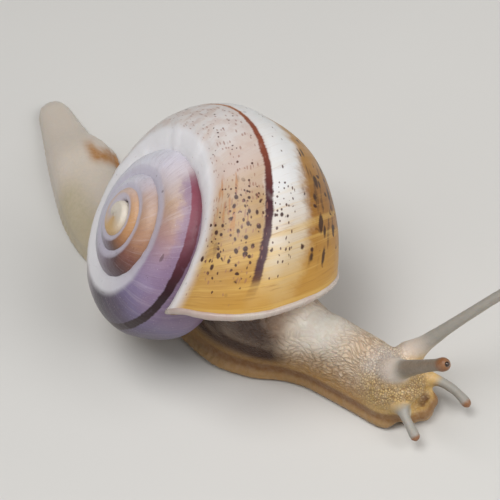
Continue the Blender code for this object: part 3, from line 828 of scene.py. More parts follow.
def skin_material(wishes):
    """Moist skin: beige tubercles parted by dusky grooves, ochre head, pale margin, grey feelers."""
    bench = Bench("moist_skin")
    place = bench.place()
    groove, station, side, up, feeler, rim, hollow = bench.attributes(
        "groove", "station", "side", "up", "feeler", "feeler_rim", "hollow")
    sheen, dusky, relief, tuck, forward, sideways = bench.attributes(
        "sheen", "dusky", "relief", "tuck", "forward", "sideways")
    broad = bench.noise(place, 0.35, 3.0, 0.55)
    fine = bench.noise(place, 3.2, 2.0, 0.6, 2.0)
    pores = bench.noise(place, 7.0, 2.0, 0.6, 5.0)

    # Where each paint lies, by station along the foot, height and side.
    low = bench.ramp(up + broad * 1.2 - 0.6, 3.8, 1.5)
    tail = bench.ramp(station, 27.0, 20.0)
    yellow = (bench.window(station, 9.5, 10.8, 1.6) * bench.ramp(side, 0.6, 1.6)
              * bench.ramp(broad, 0.35, 0.6))
    brow = bench.ramp(station + broad, 43.0, 44.4) * bench.ramp(up, 3.6, 4.2)
    snout = bench.ramp(station + broad * 0.8, 43.6, 45.2) * bench.ramp(up, 4.4, 3.4)
    # The brown just under the shell's lip is partly the flesh's own colour and partly painted shade.
    umber = bench.window(station, 35.5, 37.5, 0.8) * bench.ramp(up, 3.4, 4.8)
    # Painted reflection: a greenish cast of leaf light on the tail's right side near the shell.
    olive = bench.window(station, 14.0, 19.0, 3.0) * bench.ramp(side, 0.5, -1.5)
    margin = bench.ramp(up, 1.05, 0.8) * bench.ramp(station, 24.0, 30.0)
    # The dark line along the groove above the margin is partly the groove's own brown and partly painted
    # shade.
    line = bench.window(up, 0.98, 1.25, 0.35) * bench.ramp(station, 26.0, 33.0)
    shaft = bench.ramp(feeler, 0.02, 0.25)
    tip = bench.ramp(feeler, 0.82, 0.92)
    mouth = bench.ramp(hollow, 0.3, 0.8)

    # Tubercles: long cells on the neck, round ones on the head, darker at their seams.
    long_cell = bench.vector(forward * 1.6, sideways * 4.6 + fine.swing(0.8))
    on_head = bench.ramp(station + broad.swing(1.2), 42.6, 43.8)
    to_seam = bench.cell_edge(long_cell, 1.0) * (1.0 - on_head) + bench.cell_edge(place, 5.6) * on_head
    seam = bench.ramp(to_seam, 0.16, 0.03) * relief
    crown = bench.ramp(to_seam, 0.14, 0.4) * relief
    patch = bench.ramp(fine, 0.3, 0.75, 0.0, 0.35) * (1.0 - low * 0.7) * (1.0 - shaft * 0.7)
    colour = bench.coats(
        wishes.beige,
        (low, wishes.ochre),
        (tail * 0.9, wishes.cream),
        (yellow, 168, 112, 44),
        (brow * 0.8, 222, 212, 204),
        (snout * 0.8, 212, 176, 108),
        # Painted highlight: a bright cream patch on the neck just ahead of the shell.
        (sheen * 0.95, 250, 244, 232),
        # Partly painted shade: brown fading out from under the shell's lip.
        (umber * 0.9, 146, 100, 54),
        # Painted reflection of green leaf light on the tail.
        (olive * 0.5, 164, 150, 100),
        (margin * 0.9, 160, 124, 78),
        # Partly painted shade in the groove above the margin.
        (line * 0.8, 112, 68, 32),
        (shaft, 160, 156, 148),
        # Painted light: the feelers' lower rim is painted pale, as light glowing through the edge.
        (shaft * rim * 0.6, 222, 212, 182),
        # Painted shade: the right upper feeler's shaft is painted darker than the left.
        (dusky * 0.7, 118, 97, 72),
        (tip * 0.9, 138, 88, 48),
        # Painted shade: the mouth's hollow is painted dark brown.
        (mouth * 0.9, 104, 62, 26),
        (groove * bench.ramp(fine, 0.2, 0.7, 0.1, 0.35), wishes.dusk),
        (seam * bench.ramp(broad, 0.3, 0.7, 0.3, 0.6), wishes.dusk),
        (crown * 0.35, bench.mix(on_head, dye(226, 206, 192), dye(232, 210, 162))),
        # More painted highlight on the same patch of the neck.
        (sheen * 0.5, 255, 251, 242),
        (patch, 224, 206, 184),
        # Painted shade below the shell's lip, over flesh that is somewhat darker there.
        (tuck * 1.1, 72, 44, 26))
    wet = bench.ramp(broad, 0.3, 0.7, 0.34, 0.5) + groove * 0.1
    return bench.finish(colour, wet, [(pores, 0.03), (seam * -1.0, 0.05)], {
        "Subsurface Weight": 0.22, "Subsurface Radius": (1.0, 0.55, 0.3), "Subsurface Scale": 0.0006,
        "Specular IOR Level": 0.5, "Coat Weight": 0.12, "Coat Roughness": 0.25, "IOR": 1.4})


class ShellBench(Bench):
    """The shell's bench, with the numbers and noises that all its paints share."""

    def __init__(self, wishes):
        super().__init__("banded_shell")
        self.wishes = wishes
        self.turn, self.angle, self.age = self.attributes("turn", "angle", "age")
        self.run = self.turn * 60.0
        self.over = self.angle * 0.08
        flat = self.vector(self.run, self.over)
        with_lip = self.vector(self.age * 60.0, self.over * 0.05)
        self.cloud = self.noise(flat, 0.3, 2.0, 0.5)
        self.blotch = self.noise(flat, 1.0, 2.0, 0.5, 6.0)
        self.grain = self.noise(flat, 5.0, 2.0, 0.6, 8.0)
        self.line = self.noise(with_lip, 1.7, 4.0, 0.7, 1.0)
        self.hair = self.noise(with_lip, 6.5, 3.0, 0.75, 4.0)
        self.last = self.ramp(self.turn + self.cloud.swing(0.1), -0.76, -0.6)
        self.wobble = self.cloud.swing(1.2)

    def last_turn(self):
        """From the suture down: rosy white to tan and gold, a white girdle, an ochre base.

        Over them lie rusty and umber streaks, and fine gold and brown lines that run with the lip.
        """
        wishes = self.wishes
        flame = self.noise(self.vector(self.run * 0.22, self.over * 1.6), 1.3, 3.0, 0.6, 3.0)
        wander = self.angle + self.cloud.swing(14) + self.blotch.swing(10) + self.grain.swing(4)
        near = self.age + self.cloud.swing(0.05) + self.line.swing(0.03)
        shoulder = self.along(
            near, -0.34, 0.0, (0.0, 219, 214, 212), (0.3, 219, 212, 209), (0.5, 203, 183, 171),
            (0.62, 182, 152, 118), (0.74, 178, 144, 96), (0.86, 186, 143, 78), (1.0, wishes.ochre))
        girdle = self.along(
            near, -0.34, 0.0, (0.0, 226, 225, 224), (0.6, wishes.white), (0.75, 214, 203, 190),
            (0.84, 207, 185, 150), (0.9, 204, 168, 108), (1.0, wishes.ochre))
        base = self.along(
            near, -0.34, 0.0, (0.0, 184, 138, 66), (0.5, 174, 126, 56), (0.66, 144, 98, 42),
            (0.8, 156, 108, 46), (0.9, 182, 134, 58), (1.0, wishes.ochre))
        rosy = (self.window(wander, 36.0, 78.0, 8.0) * self.ramp(near, -0.13, -0.2)
                * self.ramp(self.blotch, 0.4, 0.62))
        streak = self.ramp(flame, 0.54, 0.62)
        dark = streak * self.window(near, -0.17, -0.055, 0.03) * self.ramp(wander, -3.0, -9.0)
        rust = streak * self.window(near, -0.16, -0.09, 0.02) * self.window(wander, 56.0, 80.0, 5.0)
        return self.coats(
            shoulder,
            (self.ramp(wander, 34.0, 22.0), girdle),
            (self.ramp(wander, -1.0, -10.0), base),
            (rosy * 0.5, 200, 178, 168),
            (dark * 0.8, wishes.umber),
            (rust * 0.6, 176, 112, 58),
            (self.ramp(self.line, 0.46, 0.62) * self.ramp(near, -0.16, -0.05, 0.05, 0.5), 218, 180, 102),
            (self.ramp(self.hair, 0.53, 0.68) * self.ramp(near, -0.2, -0.06, 0.1, 0.5), 154, 104, 46))

    def early_turns(self):
        """Lavender white, then salmon, orange and a dusky end before each pale stretch."""
        turn = self.turn
        share = (turn + 6.35 + self.cloud.swing(0.07)).fraction()
        # The dusky end of each turn is partly the shell's own purple-brown and partly painted shade.
        # The pale stretch is partly the shell's worn white and partly a painted reflection of the sky.
        spire = self.along(
            share, 0.0, 1.0, (0.0, 214, 213, 222), (0.09, 208, 204, 214), (0.16, 194, 182, 188),
            (0.22, 184, 158, 146), (0.3, 182, 146, 120), (0.38, 172, 128, 100), (0.45, 128, 82, 70),
            (0.5, 86, 58, 58), (0.55, 104, 88, 98), (0.62, 146, 136, 150), (0.75, 196, 196, 205),
            (1.0, 214, 213, 222))
        # The same on the last turns: painted shade in the dark end, painted sky reflection in the pale
        # start.
        late = self.along(
            turn + self.cloud.swing(0.06), -1.3, -0.7, (0.0, 222, 221, 230), (0.14, 214, 208, 218),
            (0.25, 194, 178, 176), (0.33, 186, 156, 134), (0.45, 170, 134, 130), (0.55, 154, 130, 154),
            (0.64, 150, 132, 164), (0.72, 122, 110, 144), (0.8, 86, 74, 96), (0.9, 62, 52, 64),
            (1.0, 96, 88, 106))
        grape = (self.ramp(self.angle + self.blotch.swing(30), 60.0, 40.0)
                 * self.window(turn, -1.14, -0.9, 0.04))
        return self.coats(
            spire,
            (self.ramp(turn, -1.42, -1.32), late),
            (grape * 0.75, self.mix(self.blotch, dye(150, 124, 150), dye(128, 108, 142))),
            (self.ramp(turn, -2.75, -3.0) * 0.5, 206, 152, 88),
            (self.ramp(turn, -3.3, -3.55) * 0.8, 216, 176, 108),
            (self.ramp(turn, -3.75, -4.05), 222, 212, 196),
            (self.ramp(self.hair, 0.48, 0.7, 0.0, 0.35), 122, 94, 104),
            (self.ramp(self.line, 0.5, 0.75, 0.0, 0.22), 216, 208, 214),
            (self.ramp(self.grain, 0.6, 0.75, 0.0, 0.4), 226, 220, 226))

    def suture_thread(self):
        """The pale thread along the suture, narrower on the early turns: its share and paint."""
        narrow = self.ramp(self.turn, -0.8, -1.0, 0.0, 8.0)
        thread = (self.ramp(self.angle - narrow + self.cloud.swing(6), 72.0, 88.0)
                  * self.ramp(self.turn, -3.75, -3.5))
        pale = self.mix(self.ramp(self.turn, -1.0, -0.7), dye(196, 190, 204), dye(236, 234, 237))
        return thread * 0.85, pale

    def spiral_band(self):
        """The one band, thin and orange, then dark and ragged to the mouth: its share and paint."""
        turn = self.turn
        lift = self.ramp(turn, -0.22, -0.3, 0.0, 4.5) * self.ramp(turn, -0.72, -0.5)
        centre = self.angle - 28.0 - lift + self.line.swing(3.0) + self.blotch.swing(4.0)
        half = (self.ramp(turn, -0.3, -0.12, 1.5, 3.2) + self.ramp(turn, -0.5, -0.8, 0.0, 4.4)
                + self.ramp(turn, -0.92, -1.04, 0.0, 2.6) + self.hair.swing(2.6))
        band = self.ramp(abs(centre) - half, 1.2, -1.0)
        fade = (self.ramp(self.age + self.line.swing(0.03), -0.02, -0.05)
                * self.ramp(turn + self.cloud.swing(0.04), -1.2, -1.12))
        warm = self.mix(self.ramp(turn, -0.28, -0.2), dye(176, 108, 50), self.wishes.band)
        dark = self.mix(self.ramp(turn + self.cloud.swing(0.03), -0.18, -0.1), warm, dye(70, 34, 42))
        old = self.mix(self.ramp(turn, -1.1, -0.92), dye(138, 76, 90), dye(48, 25, 32))
        return (band * fade * self.ramp(self.blotch, 0.2, 0.45, 0.75, 1.0),
                self.mix(self.last, old, dark))

    def strewn_dots(self, seed, stretch, scale, radius, paint, strength, zones):
        """Ragged dots in some of the cells of a stretched net: their share and paint."""
        place = self.vector(self.run * stretch + seed + self.wobble, self.over + self.wobble * 0.2)
        spots = self.node("ShaderNodeTexVoronoi", {"voronoi_dimensions": "2D"},
                          {"Vector": place, "Scale": scale, "Randomness": 0.8}, "Distance")
        lot = self.node("ShaderNodeSeparateXYZ", {}, {0: spots.also("Color")})
        luck, size = lot, lot.also("Y")
        dense = 0.0
        for start, end, soft, low, high, share in zones:
            zone = self.window(self.age, start, end, soft) * self.window(self.angle, low, high, 4.0)
            dense = zone * share + dense
        chosen = self.ramp(luck - dense * self.ramp(self.blotch, 0.4, 0.58, 0.35, 1.25), 0.02, -0.02)
        rim = spots + self.grain.swing(0.16) + size * radius * 0.45
        return (self.ramp(rim, radius, radius * 0.6) * chosen * strength, *paint)


def shell_material(wishes):
    """Worn glossy shell: pale turns, ochre flames, strewn dark dots and one dark spiral band."""
    bench = ShellBench(wishes)
    colour = bench.coats(
        bench.mix(bench.last, bench.early_turns(), bench.last_turn()),
        bench.suture_thread(),
        bench.spiral_band(),
        *[bench.strewn_dots(*dots) for dots in DOTS])
    gloss = bench.ramp(bench.line, 0.3, 0.75, 0.3, 0.45)
    lines = bench.hair * 0.3 + bench.line * 0.8
    return bench.finish(colour, gloss, [(lines, 0.03), (bench.blotch, 0.03)], {
        "Specular IOR Level": 0.35, "Coat Weight": 0.08, "Coat Roughness": 0.25,
        "Subsurface Weight": 0.05, "Subsurface Radius": (1.0, 0.7, 0.5), "Subsurface Scale": 0.0004})


def lip_material(wishes):
    """Porcelain white lip with a rose tinge and growth threads."""
    bench = Bench("porcelain_lip")
    around_lip, = bench.attributes("round")
    cloud = bench.noise(bench.place(), 0.6, 3.0, 0.5)
    thread = bench.noise(bench.vector(around_lip * 14.0, cloud * 0.4), 1.0, 3.0, 0.6, 2.0)
    colour = bench.coats(
        wishes.white,
        (bench.ramp(cloud, 0.35, 0.7), wishes.rose),
        (bench.ramp(thread, 0.5, 0.75, 0.0, 0.35), 176, 150, 124))
    return bench.finish(colour, bench.ramp(cloud, 0.3, 0.7, 0.22, 0.34), [(thread, 0.04)], {
        "Subsurface Weight": 0.1, "Subsurface Radius": (1.0, 0.8, 0.7), "Subsurface Scale": 0.0004,
        "Coat Weight": 0.3, "Coat Roughness": 0.15})


def mantle_material(wishes):
    """Wrinkled brown-ochre collar flesh with dusky mottling."""
    bench = Bench("mantle_flesh")
    place = bench.place()
    fold, = bench.attributes("fold")
    mottle = bench.noise(place, 1.4, 3.0, 0.6)
    pores = bench.noise(place, 6.0, 2.0, 0.6, 2.0)
    colour = bench.coats(
        wishes.flesh,
        (bench.ramp(mottle, 0.35, 0.65), 110, 74, 48),
        # Painted shade darkens the creases of the folds.
        (fold * 0.6, 70, 44, 34))
    return bench.finish(colour, bench.ramp(mottle, 0.3, 0.7, 0.3, 0.45), [(pores, 0.04)], {
        "Subsurface Weight": 0.2, "Subsurface Radius": (1.0, 0.5, 0.3), "Subsurface Scale": 0.0006,
        "Coat Weight": 0.2, "Coat Roughness": 0.25})


def eye_material():
    """A wet, near-black eye with a brown cast."""
    bench = Bench("wet_eye")
    cloud = bench.noise(bench.place(), 5.0, 2.0, 0.5)
    colour = bench.mix(cloud, dye(36, 22, 16), dye(72, 44, 28))
    return bench.finish(colour, bench.ramp(cloud, 0.3, 0.7, 0.08, 0.16), [(cloud, 0.01)],
                        {"Coat Weight": 0.6, "Coat Roughness": 0.05})


def floor_material(wishes):
    """Plain pale matt floor."""
    bench = Bench("pale_floor")
    grain = bench.noise(bench.place(), 0.05, 2.0, 0.5)
    colour = bench.mix(grain, wishes.floor, [0.96 * part for part in wishes.floor])
    return bench.finish(colour, 0.75, [], {})


# --- pieces --------------------------------------------------------------------------------


def feeler_marks(points):
    """Numbers for each corner from its place by a feeler.

    share: 0 on the body to 1 at the tip. rim: its lower side, painted pale as light glowing through
    the edge. root: where it meets the head. collar: the smooth ring round that. dusky: the shaft of
    the right upper one, painted darker as shade, though both feelers have one colour.
    """
    marks = {name: np.zeros(len(points)) for name in ("share", "rim", "root", "collar", "dusky")}
    for arc, radii, hidden in FEELERS:
        path = bend(arc, FEELER_STEPS)
        length = straight_length(arc)
        index = np.nonzero(np.linalg.norm(points - path[FEELER_STEPS // 2], axis=1) < length)[0]
        apart = np.linalg.norm(points[index, None] - path[None], axis=2)
        nearest = apart.argmin(axis=1)
        distance = apart.min(axis=1)
        along = nearest / (FEELER_STEPS - 1)
        radius = feeler_radius(radii, along * length, length)
        start = hidden / length
        value = np.clip((along - start) / (1 - start), 0, 1)
        reach = (along - start) * length
        below = (path[nearest, 2] - points[index, 2]) / np.maximum(radius, 0.1)
        on = eased(distance, radius * 1.6 + 0.15, radius * 1.15 + 0.05)
        wide = radius * 1.15 + 0.35
        found = {
            "share": on * value,
            "rim": on * eased(below, 0.1, 0.9),
            "root": hump(reach, 0.1, 0.8 * radii[0] + 0.35) * eased(distance, wide * 1.5, wide * 0.9),
            "collar": hump(reach, 0.3, 0.9) * eased(distance, radius + 0.4, radius * 0.7 + 0.1),
            "dusky": on * eased(value, 0.05, 0.3) * (arc is UPPER_RIGHT)}
        for name, values in found.items():
            marks[name][index] = np.maximum(marks[name][index], values)
    return marks


def soft_body():
    """The body's grid, held behind the collar in the trunk, under the shell and on the floor.

    The collar's plane is where normal . (point - middle) = reach.
    """
    station = np.unique(np.concatenate([np.linspace(*run) for run in BODY_ROWS]))
    body = body_surface(station)
    x, y, z = np.moveaxis(body, -1, 0)
    middle, normal = mouth_frame()
    reach = MANTLE_FORWARD + MANTLE_HALF_THICKNESS - CLEAR_OF_COLLAR
    rest = reach - normal[0] * (x - middle[0]) - normal[1] * (y - middle[1])
    plane = middle[2] + rest / normal[2]
    in_trunk = ((station > TRUNK[0]) & (station < TRUNK[1]))[:, None]
    up = np.where(in_trunk, np.minimum(z, plane), z)
    body[..., 2] = np.maximum(np.minimum(up, under_shell(x, y, CLEAR_OF_SHELL)), 0.0)
    return body


def skin_mesh(step):
    """Body, feelers and lobes melted into one skin, smoothed, with finer faces on neck and head."""
    parts = [soft_body()]
    parts += [feeler_surface(arc, radii) for arc, radii, _ in FEELERS]
    parts += [ball_surface(centre, LOBE_RADII, turn=HEAD_TURN) for centre in LOBES]
    mesh = melted("snail_skin", [closed_tube(part) for part in parts], step)
    points = corners_of(mesh)
    edges = edges_of(mesh)
    root = feeler_marks(points)["root"]
    points = relaxed(points, edges, np.full(len(points), 0.5), 4)
    points = relaxed(points, edges, root * 0.6, 30)
    place_corners(mesh, points)
    low, high = FINE_HEIGHTS
    cut_finer(mesh, (body_place(points)[0] > FINE_FROM) & (points[:, 2] > low) & (points[:, 2] < high))
    points = corners_of(mesh)
    marks = feeler_marks(points)
    points = relaxed(points, edges_of(mesh), np.full(len(points), 0.5), 3)
    place_corners(mesh, points)
    return mesh, points, marks


def seams(places, seed, start, end):
    """1 where the nearest and the next strewn point are as far, 0 in the middle of a cell."""
    near, following = cells(places, seed)
    return 1 - eased(following - near, start, end)


def skin_relief(points, marks, wishes):
    """How deep the skin is pressed in at each corner, and the numbers that its material reads.

    Station and girth, the way round the body, are turned by a slant of 0.34 tanh(girth / 2), so
    that the neck's long cells run forward and down on both sides. The head's cells are round.
    """
    share = marks["share"]
    at, across, up = body_place(points)
    flesh = 1 - eased(share, 0.0, 0.12)
    girth_radius = (follow(HALF_WIDTH, at) + np.minimum(follow(HEIGHT, at), 5.0)) / 2
    girth = np.arctan2(across - follow(LEAN, at) * 0.5, up - 0.9) * girth_radius
    slant = NECK_SLANT * np.tanh(girth / 2.0)
    ahead = at - NECK_MIDDLE
    aside, askew = (drift(points * 0.9, seed) * 0.35 for seed in (1, 2))
    forward = ahead * np.cos(slant) - girth * np.sin(slant) + aside
    sideways = ahead * np.sin(slant) + girth * np.cos(slant) + askew

    size = wishes.neck_tubercle / MM
    neck_groove = seams(flat_places(forward / (size * NECK_STRETCH), sideways / size), 3, 0.0, 0.16)
    head_places = points / (wishes.head_tubercle / MM) + aside[:, None] * 0.4
    head_groove = seams(head_places, 5, 0.01, 0.24)
    to_head = eased(at, *HEAD_CELLS)
    groove = neck_groove * (1 - to_head) + head_groove * to_head
    # Grooves fade on the feelers and their collars, on the neck's painted highlight, by the margin and to
    # the tail.
    # The patch of the neck where a highlight is painted.
    sheen = hump(at, *HIGHLIGHT_STATION) * hump(girth, *HIGHLIGHT_GIRTH) * eased(up, 2.8, 4.0)
    strength = flesh * eased(up, 1.1, 1.6) * (0.35 + 0.65 * eased(up, 1.3, 2.9))
    strength = strength * (1 - 0.93 * np.clip(sheen, 0, 1)) * (1 - 0.85 * marks["collar"])
    strength = strength * (1 - 0.8 * eased(at, 31, 22)) * (1 - 0.5 * eased(at, 37, 33))
    groove = groove * strength

    # Rings on the feelers, pleats on the margin, folds in the tuck below the shell, and the mouth.
    rings = wave(share * RINGS_ON_FEELER + drift(points * 1.5, 8) * 3.0)
    on_feeler = eased(share, 0.05, 0.2) * (1 - eased(share, 0.84, 0.92))
    pleat = wave(at * 2 * math.pi / PLEAT_LENGTH + drift(points * 1.3, 7) * 2.2)
    on_margin = hump(up, 0.55, 0.35) * eased(up, 0.05, 0.3)
    folds = drift(flat_places(at * 0.5, girth * 1.4), 9)
    # This mask also carries the painted shade on the skin below the shell.
    tuck = eased(at, 38.2, 36.2) * eased(at, 28.0, 31.0) * eased(up, 1.0, 2.4)
    hollow = hump(np.linalg.norm((points - MOUTH) / MOUTH_RADII, axis=1), 0, 1.0)
    lobes = eased(up, 1.75, 1.4) * eased(at, 45.6, 46.3) * flesh * (1 - hollow)
    depth = (wishes.tubercle_height / MM * groove + RING_DEPTH * rings * on_feeler
             + PLEAT_DEPTH * pleat * on_margin + TUCK_DEPTH * tuck * (0.5 + 0.5 * folds)
             + MOUTH_DEPTH * hollow + LOBE_DEPTH * lobes * head_groove)
    shades = {
        "groove": np.clip(groove + 0.08 * on_feeler * rings, 0, 1), "station": at, "side": across,
        "up": up, "feeler": share, "feeler_rim": marks["rim"] * on_feeler,
        "hollow": np.clip(hollow * 1.2, 0, 1), "sheen": np.clip(sheen, 0, 1),
        "tuck": np.clip(tuck * (0.85 + 0.25 * folds), 0, 1), "relief": strength,
        "dusky": marks["dusky"], "forward": forward, "sideways": sideways}
    return depth, shades


def make_skin():
    """The whole soft body as one skin: body, feelers and mouth lobes melted together and wrinkled."""
    wishes = bpy.context.scene.snail_skin
    mesh, points, marks = skin_mesh(wishes.mesh_step / MM)
    depth, shades = skin_relief(points, marks, wishes)
    outward = table_of(mesh.vertex_normals, "vector").astype(float)
    points = points - outward * depth[:, None]
    points[:, 2] = np.maximum(points[:, 2], 0.0)
    place_corners(mesh, points * MM)
    for name, values in shades.items():
        mark(mesh, name, values)
    mesh.shade_smooth()
    skin = put("snail_skin", mesh, skin_material(wishes))
    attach(skin, "root")
    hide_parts("tail", "foot_rear", "trunk", "neck", "head", "mouth_lobe_left", "mouth_lobe_right",
                "feeler_upper_left", "feeler_upper_right", "feeler_lower_left", "feeler_lower_right")


def make_shell():
    """The coiled shell as one growing tube with growth relief, walled at the mouth.

    Rows are spaced by the tube's size. Columns lie at 2 pi a - pi - c sin 2 pi a, closer together
    on the side that faces the axis.
    """
    wishes = bpy.context.scene.snail_shell
    even = np.linspace(FIRST_TURN, 0, 4000)
    pace = np.cumsum(growth(even) + 0.06)
    base = np.interp(np.linspace(pace[0], pace[-1], SHELL_ROWS), pace, even)
    a = np.linspace(0, 1, SHELL_COLUMNS, endpoint=False)
    angle = math.pi * (2 * a - 1) - COLUMN_CROWDING * np.sin(2 * math.pi * a)
    base, angle = np.meshgrid(base, angle, indexing="ij")
    turn = swung(base, angle, SHELL_SETBACK)
    age = turn - lip_turn(angle)
    lines = drift(flat_places(age * 55, angle * 0.5), 11)
    rests = drift(flat_places(age * 17, angle * 0.3), 12)
    dents = drift(flat_places(turn * 14, angle * 2.2), 13)
    relief = (0.035 * lines + 0.05 * rests + 0.04 * dents).reshape(turn.shape) * growth(turn)
    outer = shell_point(turn, angle, relief * (wishes.relief / MM / 0.1) - SHELL_SINKS)

    inner_angle = np.repeat(angle[:1], len(WALL_TURNS), axis=0)
    inner_turn = np.array(WALL_TURNS)[:, None] + lip_turn(inner_angle, SHELL_SETBACK)
    inner = shell_point(inner_turn, inner_angle, -np.array(WALL_DEPTHS)[:, None])
    corners, faces = closed_tube(np.concatenate((outer, inner)))
    mesh = mesh_from("shell_coil", corners, faces)
    for name, grids, poles in (("turn", (turn, inner_turn), (FIRST_TURN, 0.0)),
                               ("angle", (np.degrees(angle), np.degrees(inner_angle)), (0.0, 0.0)),
                               ("age", (age, 0 * inner_turn), (FIRST_TURN, 0.0))):
        mark(mesh, name, np.concatenate([grid.ravel() for grid in grids] + [poles]))
    shell = put("shell_coil", mesh, shell_material(wishes))
    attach(shell, "root")
    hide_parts("shell_spire", "shell_last_whorl")


def make_lip():
    """The white rolled edge of the mouth: a flattened ring carried along the slanting edge.

    Each ring is path + ahead wide cos^p a + out half_height sin^p a, thinner to both ends.
    """
    wishes = bpy.context.scene.snail_lip
    degrees = np.linspace(*LIP_SPAN, 420)
    angle = np.radians(degrees)
    radius = wishes.width / MM / 2
    edge = lip_turn(angle, radius)
    path = shell_point(edge, angle, -LIP_SINKS)
    out = unit(shell_point(edge, angle, 0.1) - path)
    ahead = unit(np.cross(unit(np.gradient(path, axis=0)), out))
    ahead *= np.sign(ahead @ mouth_frame()[1])[:, None]
    out = unit(out + LIP_ROLLS_OUT * ahead)
    ahead = ahead - (ahead * out).sum(axis=1)[:, None] * out
    a = np.linspace(0, 2 * math.pi, 36, endpoint=False)
    share = np.linspace(0, 1, len(angle))
    ends = np.sqrt(np.clip(1 - np.abs(2 * share - 1) ** 14, 0.0004, 1))
    ripple = 1 + 0.05 * np.sin(share * 61) + 0.03 * np.sin(share * 143 + 1)
    wide = radius * ends * ripple * (1 - 0.45 * eased(degrees, 50, 118))
    high = LIP_HALF_HEIGHT * ends * ripple * (1 - 0.55 * eased(degrees, 55, 118))
    points = (path[:, None]
              + ahead[:, None] * wide[:, None, None] * signed_power(np.cos(a), LIP_SQUARENESS)[:, None]
              + out[:, None] * high[:, None, None] * signed_power(np.sin(a), LIP_SQUARENESS)[:, None])
    corners, faces = closed_tube(points)
    mesh = mesh_from("shell_lip_roll", corners, faces)
    mark(mesh, "round", np.concatenate((np.repeat(share * 40, len(a)), (0.0, 40.0))))
    lip = put("shell_lip_roll", mesh, lip_material(wishes))
    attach(lip, "root")
    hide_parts("shell_lip")


def make_mantle():
    """The mantle collar that closes the mouth: a crowned cushion with folds running to its rim.

    Each ring is the mouth's edge drawn to the middle by 0.9 sin^0.45(pi k), and stands forward by
    -cos(pi k) half a thickness.
    """
    wishes = bpy.context.scene.snail_mantle
    angle = np.linspace(0, 2 * math.pi, 220, endpoint=False)
    edge = shell_point(lip_turn(angle), angle)
    middle, normal = mouth_frame()
    k = np.linspace(0, 1, 40)
    fit = np.sin(math.pi * k) ** 0.45 * 0.9 + 0.02
    level = MANTLE_FORWARD - MANTLE_HALF_THICKNESS * np.cos(math.pi * k)
    fold = wave(angle * MANTLE_FOLDS + 2.4 * np.sin(angle * 5) + 1.5 * np.sin(angle * 3))
    depth = MANTLE_FOLD_DEPTH * fold * (hump(fit, 0.8, 0.25) * (k > 0.4))[:, None]
    points = middle + (edge - middle)[None] * fit[:, None, None]
    points = points + normal * (level[:, None] - depth)[..., None]
    corners, faces = closed_tube(points)
    mesh = mesh_from("mantle_collar_flesh", corners, faces)
    mark(mesh, "fold", np.append(fold * hump(fit, 0.8, 0.3)[:, None], (0.0, 0.0)))
    collar = put("mantle_collar_flesh", mesh, mantle_material(wishes))
    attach(collar, "root")
    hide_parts("mantle_collar")


def make_eyes():
    """A small dark eye in the tip of each upper feeler."""
    radius = bpy.context.scene.snail_skin.eye_radius / MM
    material = eye_material()
    for side, arc in (("left", UPPER_LEFT), ("right", UPPER_RIGHT)):
        path = bend(arc, 12)
        centre = path[-1] + unit(path[-1] - path[-2]) * (EYE_STANDS_OUT - radius)
        corners, faces = closed_tube(ball_surface(centre, (radius, radius, radius), 32, 48))
        eye = put("eye_bead_" + side, mesh_from("eye_bead_" + side, corners, faces), material)
        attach(eye, "root")
        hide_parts("eye_" + side)


def soft_light(name, place, size, power):
    """A square area light that faces the model, in metres and watts."""
    lamp = bpy.data.lights.new(name, "AREA")
    lamp.size = size
    lamp.energy = power
    holder = bpy.data.objects.new(name, lamp)
    away = unit(np.array(place) - LIGHT_AIM)
    holder.location = place
    holder.rotation_euler = (math.acos(away[2]), 0, math.atan2(away[1], away[0]) + math.pi / 2)
    bpy.context.scene.collection.objects.link(holder)


def make_stage():
    """Pale floor, soft lights, and a camera that looks down on the right side from ahead."""
    scene = bpy.context.scene
    wishes = scene.snail_stage
    mesh = bpy.data.meshes.new("floor")
    square = [(x * FLOOR_REACH, y * FLOOR_REACH, 0) for x, y in ((-1, -1), (1, -1), (1, 1), (-1, 1))]
    mesh.from_pydata(square, [], [(0, 1, 2, 3)])
    floor = put("floor", mesh, floor_material(wishes))
    for name, (place, size) in LIGHTS.items():
        soft_light(name, place, size, getattr(wishes, name))
    world = bpy.data.worlds.new("studio")
    world.use_nodes = True
    background = world.node_tree.nodes["Background"]
    background.inputs["Color"].default_value = (1.0, 1.0, 1.0, 1.0)
    background.inputs["Strength"].default_value = wishes.ambient
    scene.world = world
    eye = bpy.data.cameras.new("camera")
    eye.lens = CAMERA_LENS
    eye.sensor_width = CAMERA_SENSOR
    eye.clip_start = 0.005
    holder = bpy.data.objects.new("camera", eye)
    place = np.eye(4)
    place[:3] = np.column_stack((CAMERA_RIGHT, CAMERA_UP, np.cross(CAMERA_RIGHT, CAMERA_UP), CAMERA_PLACE))
    scene.collection.objects.link(holder)
    holder.matrix_world = Matrix(place.tolist())
    scene.camera = holder
    scene.view_settings.view_transform = "Standard"


# --- the add-on ----------------------------------------------------------------------------


def colour_wish(name, description, red, green, blue):
    """A colour setting from everyday 0-255 numbers."""
    return FloatVectorProperty(name=name, description=description, subtype="COLOR", size=3,
                               min=0.0, max=1.0, default=dye(red, green, blue)[:3])


def length_wish(name, description, metres):
    """A length setting in metres."""
    return FloatProperty(name=name, description=description, default=metres, min=0.0,
                         subtype="DISTANCE", unit="LENGTH", precision=5)


def power_wish(name, description, watts):
    """A light's power in watts."""
    return FloatProperty(name=name, description=description, default=watts, min=0.0,
                         subtype="POWER", unit="POWER")


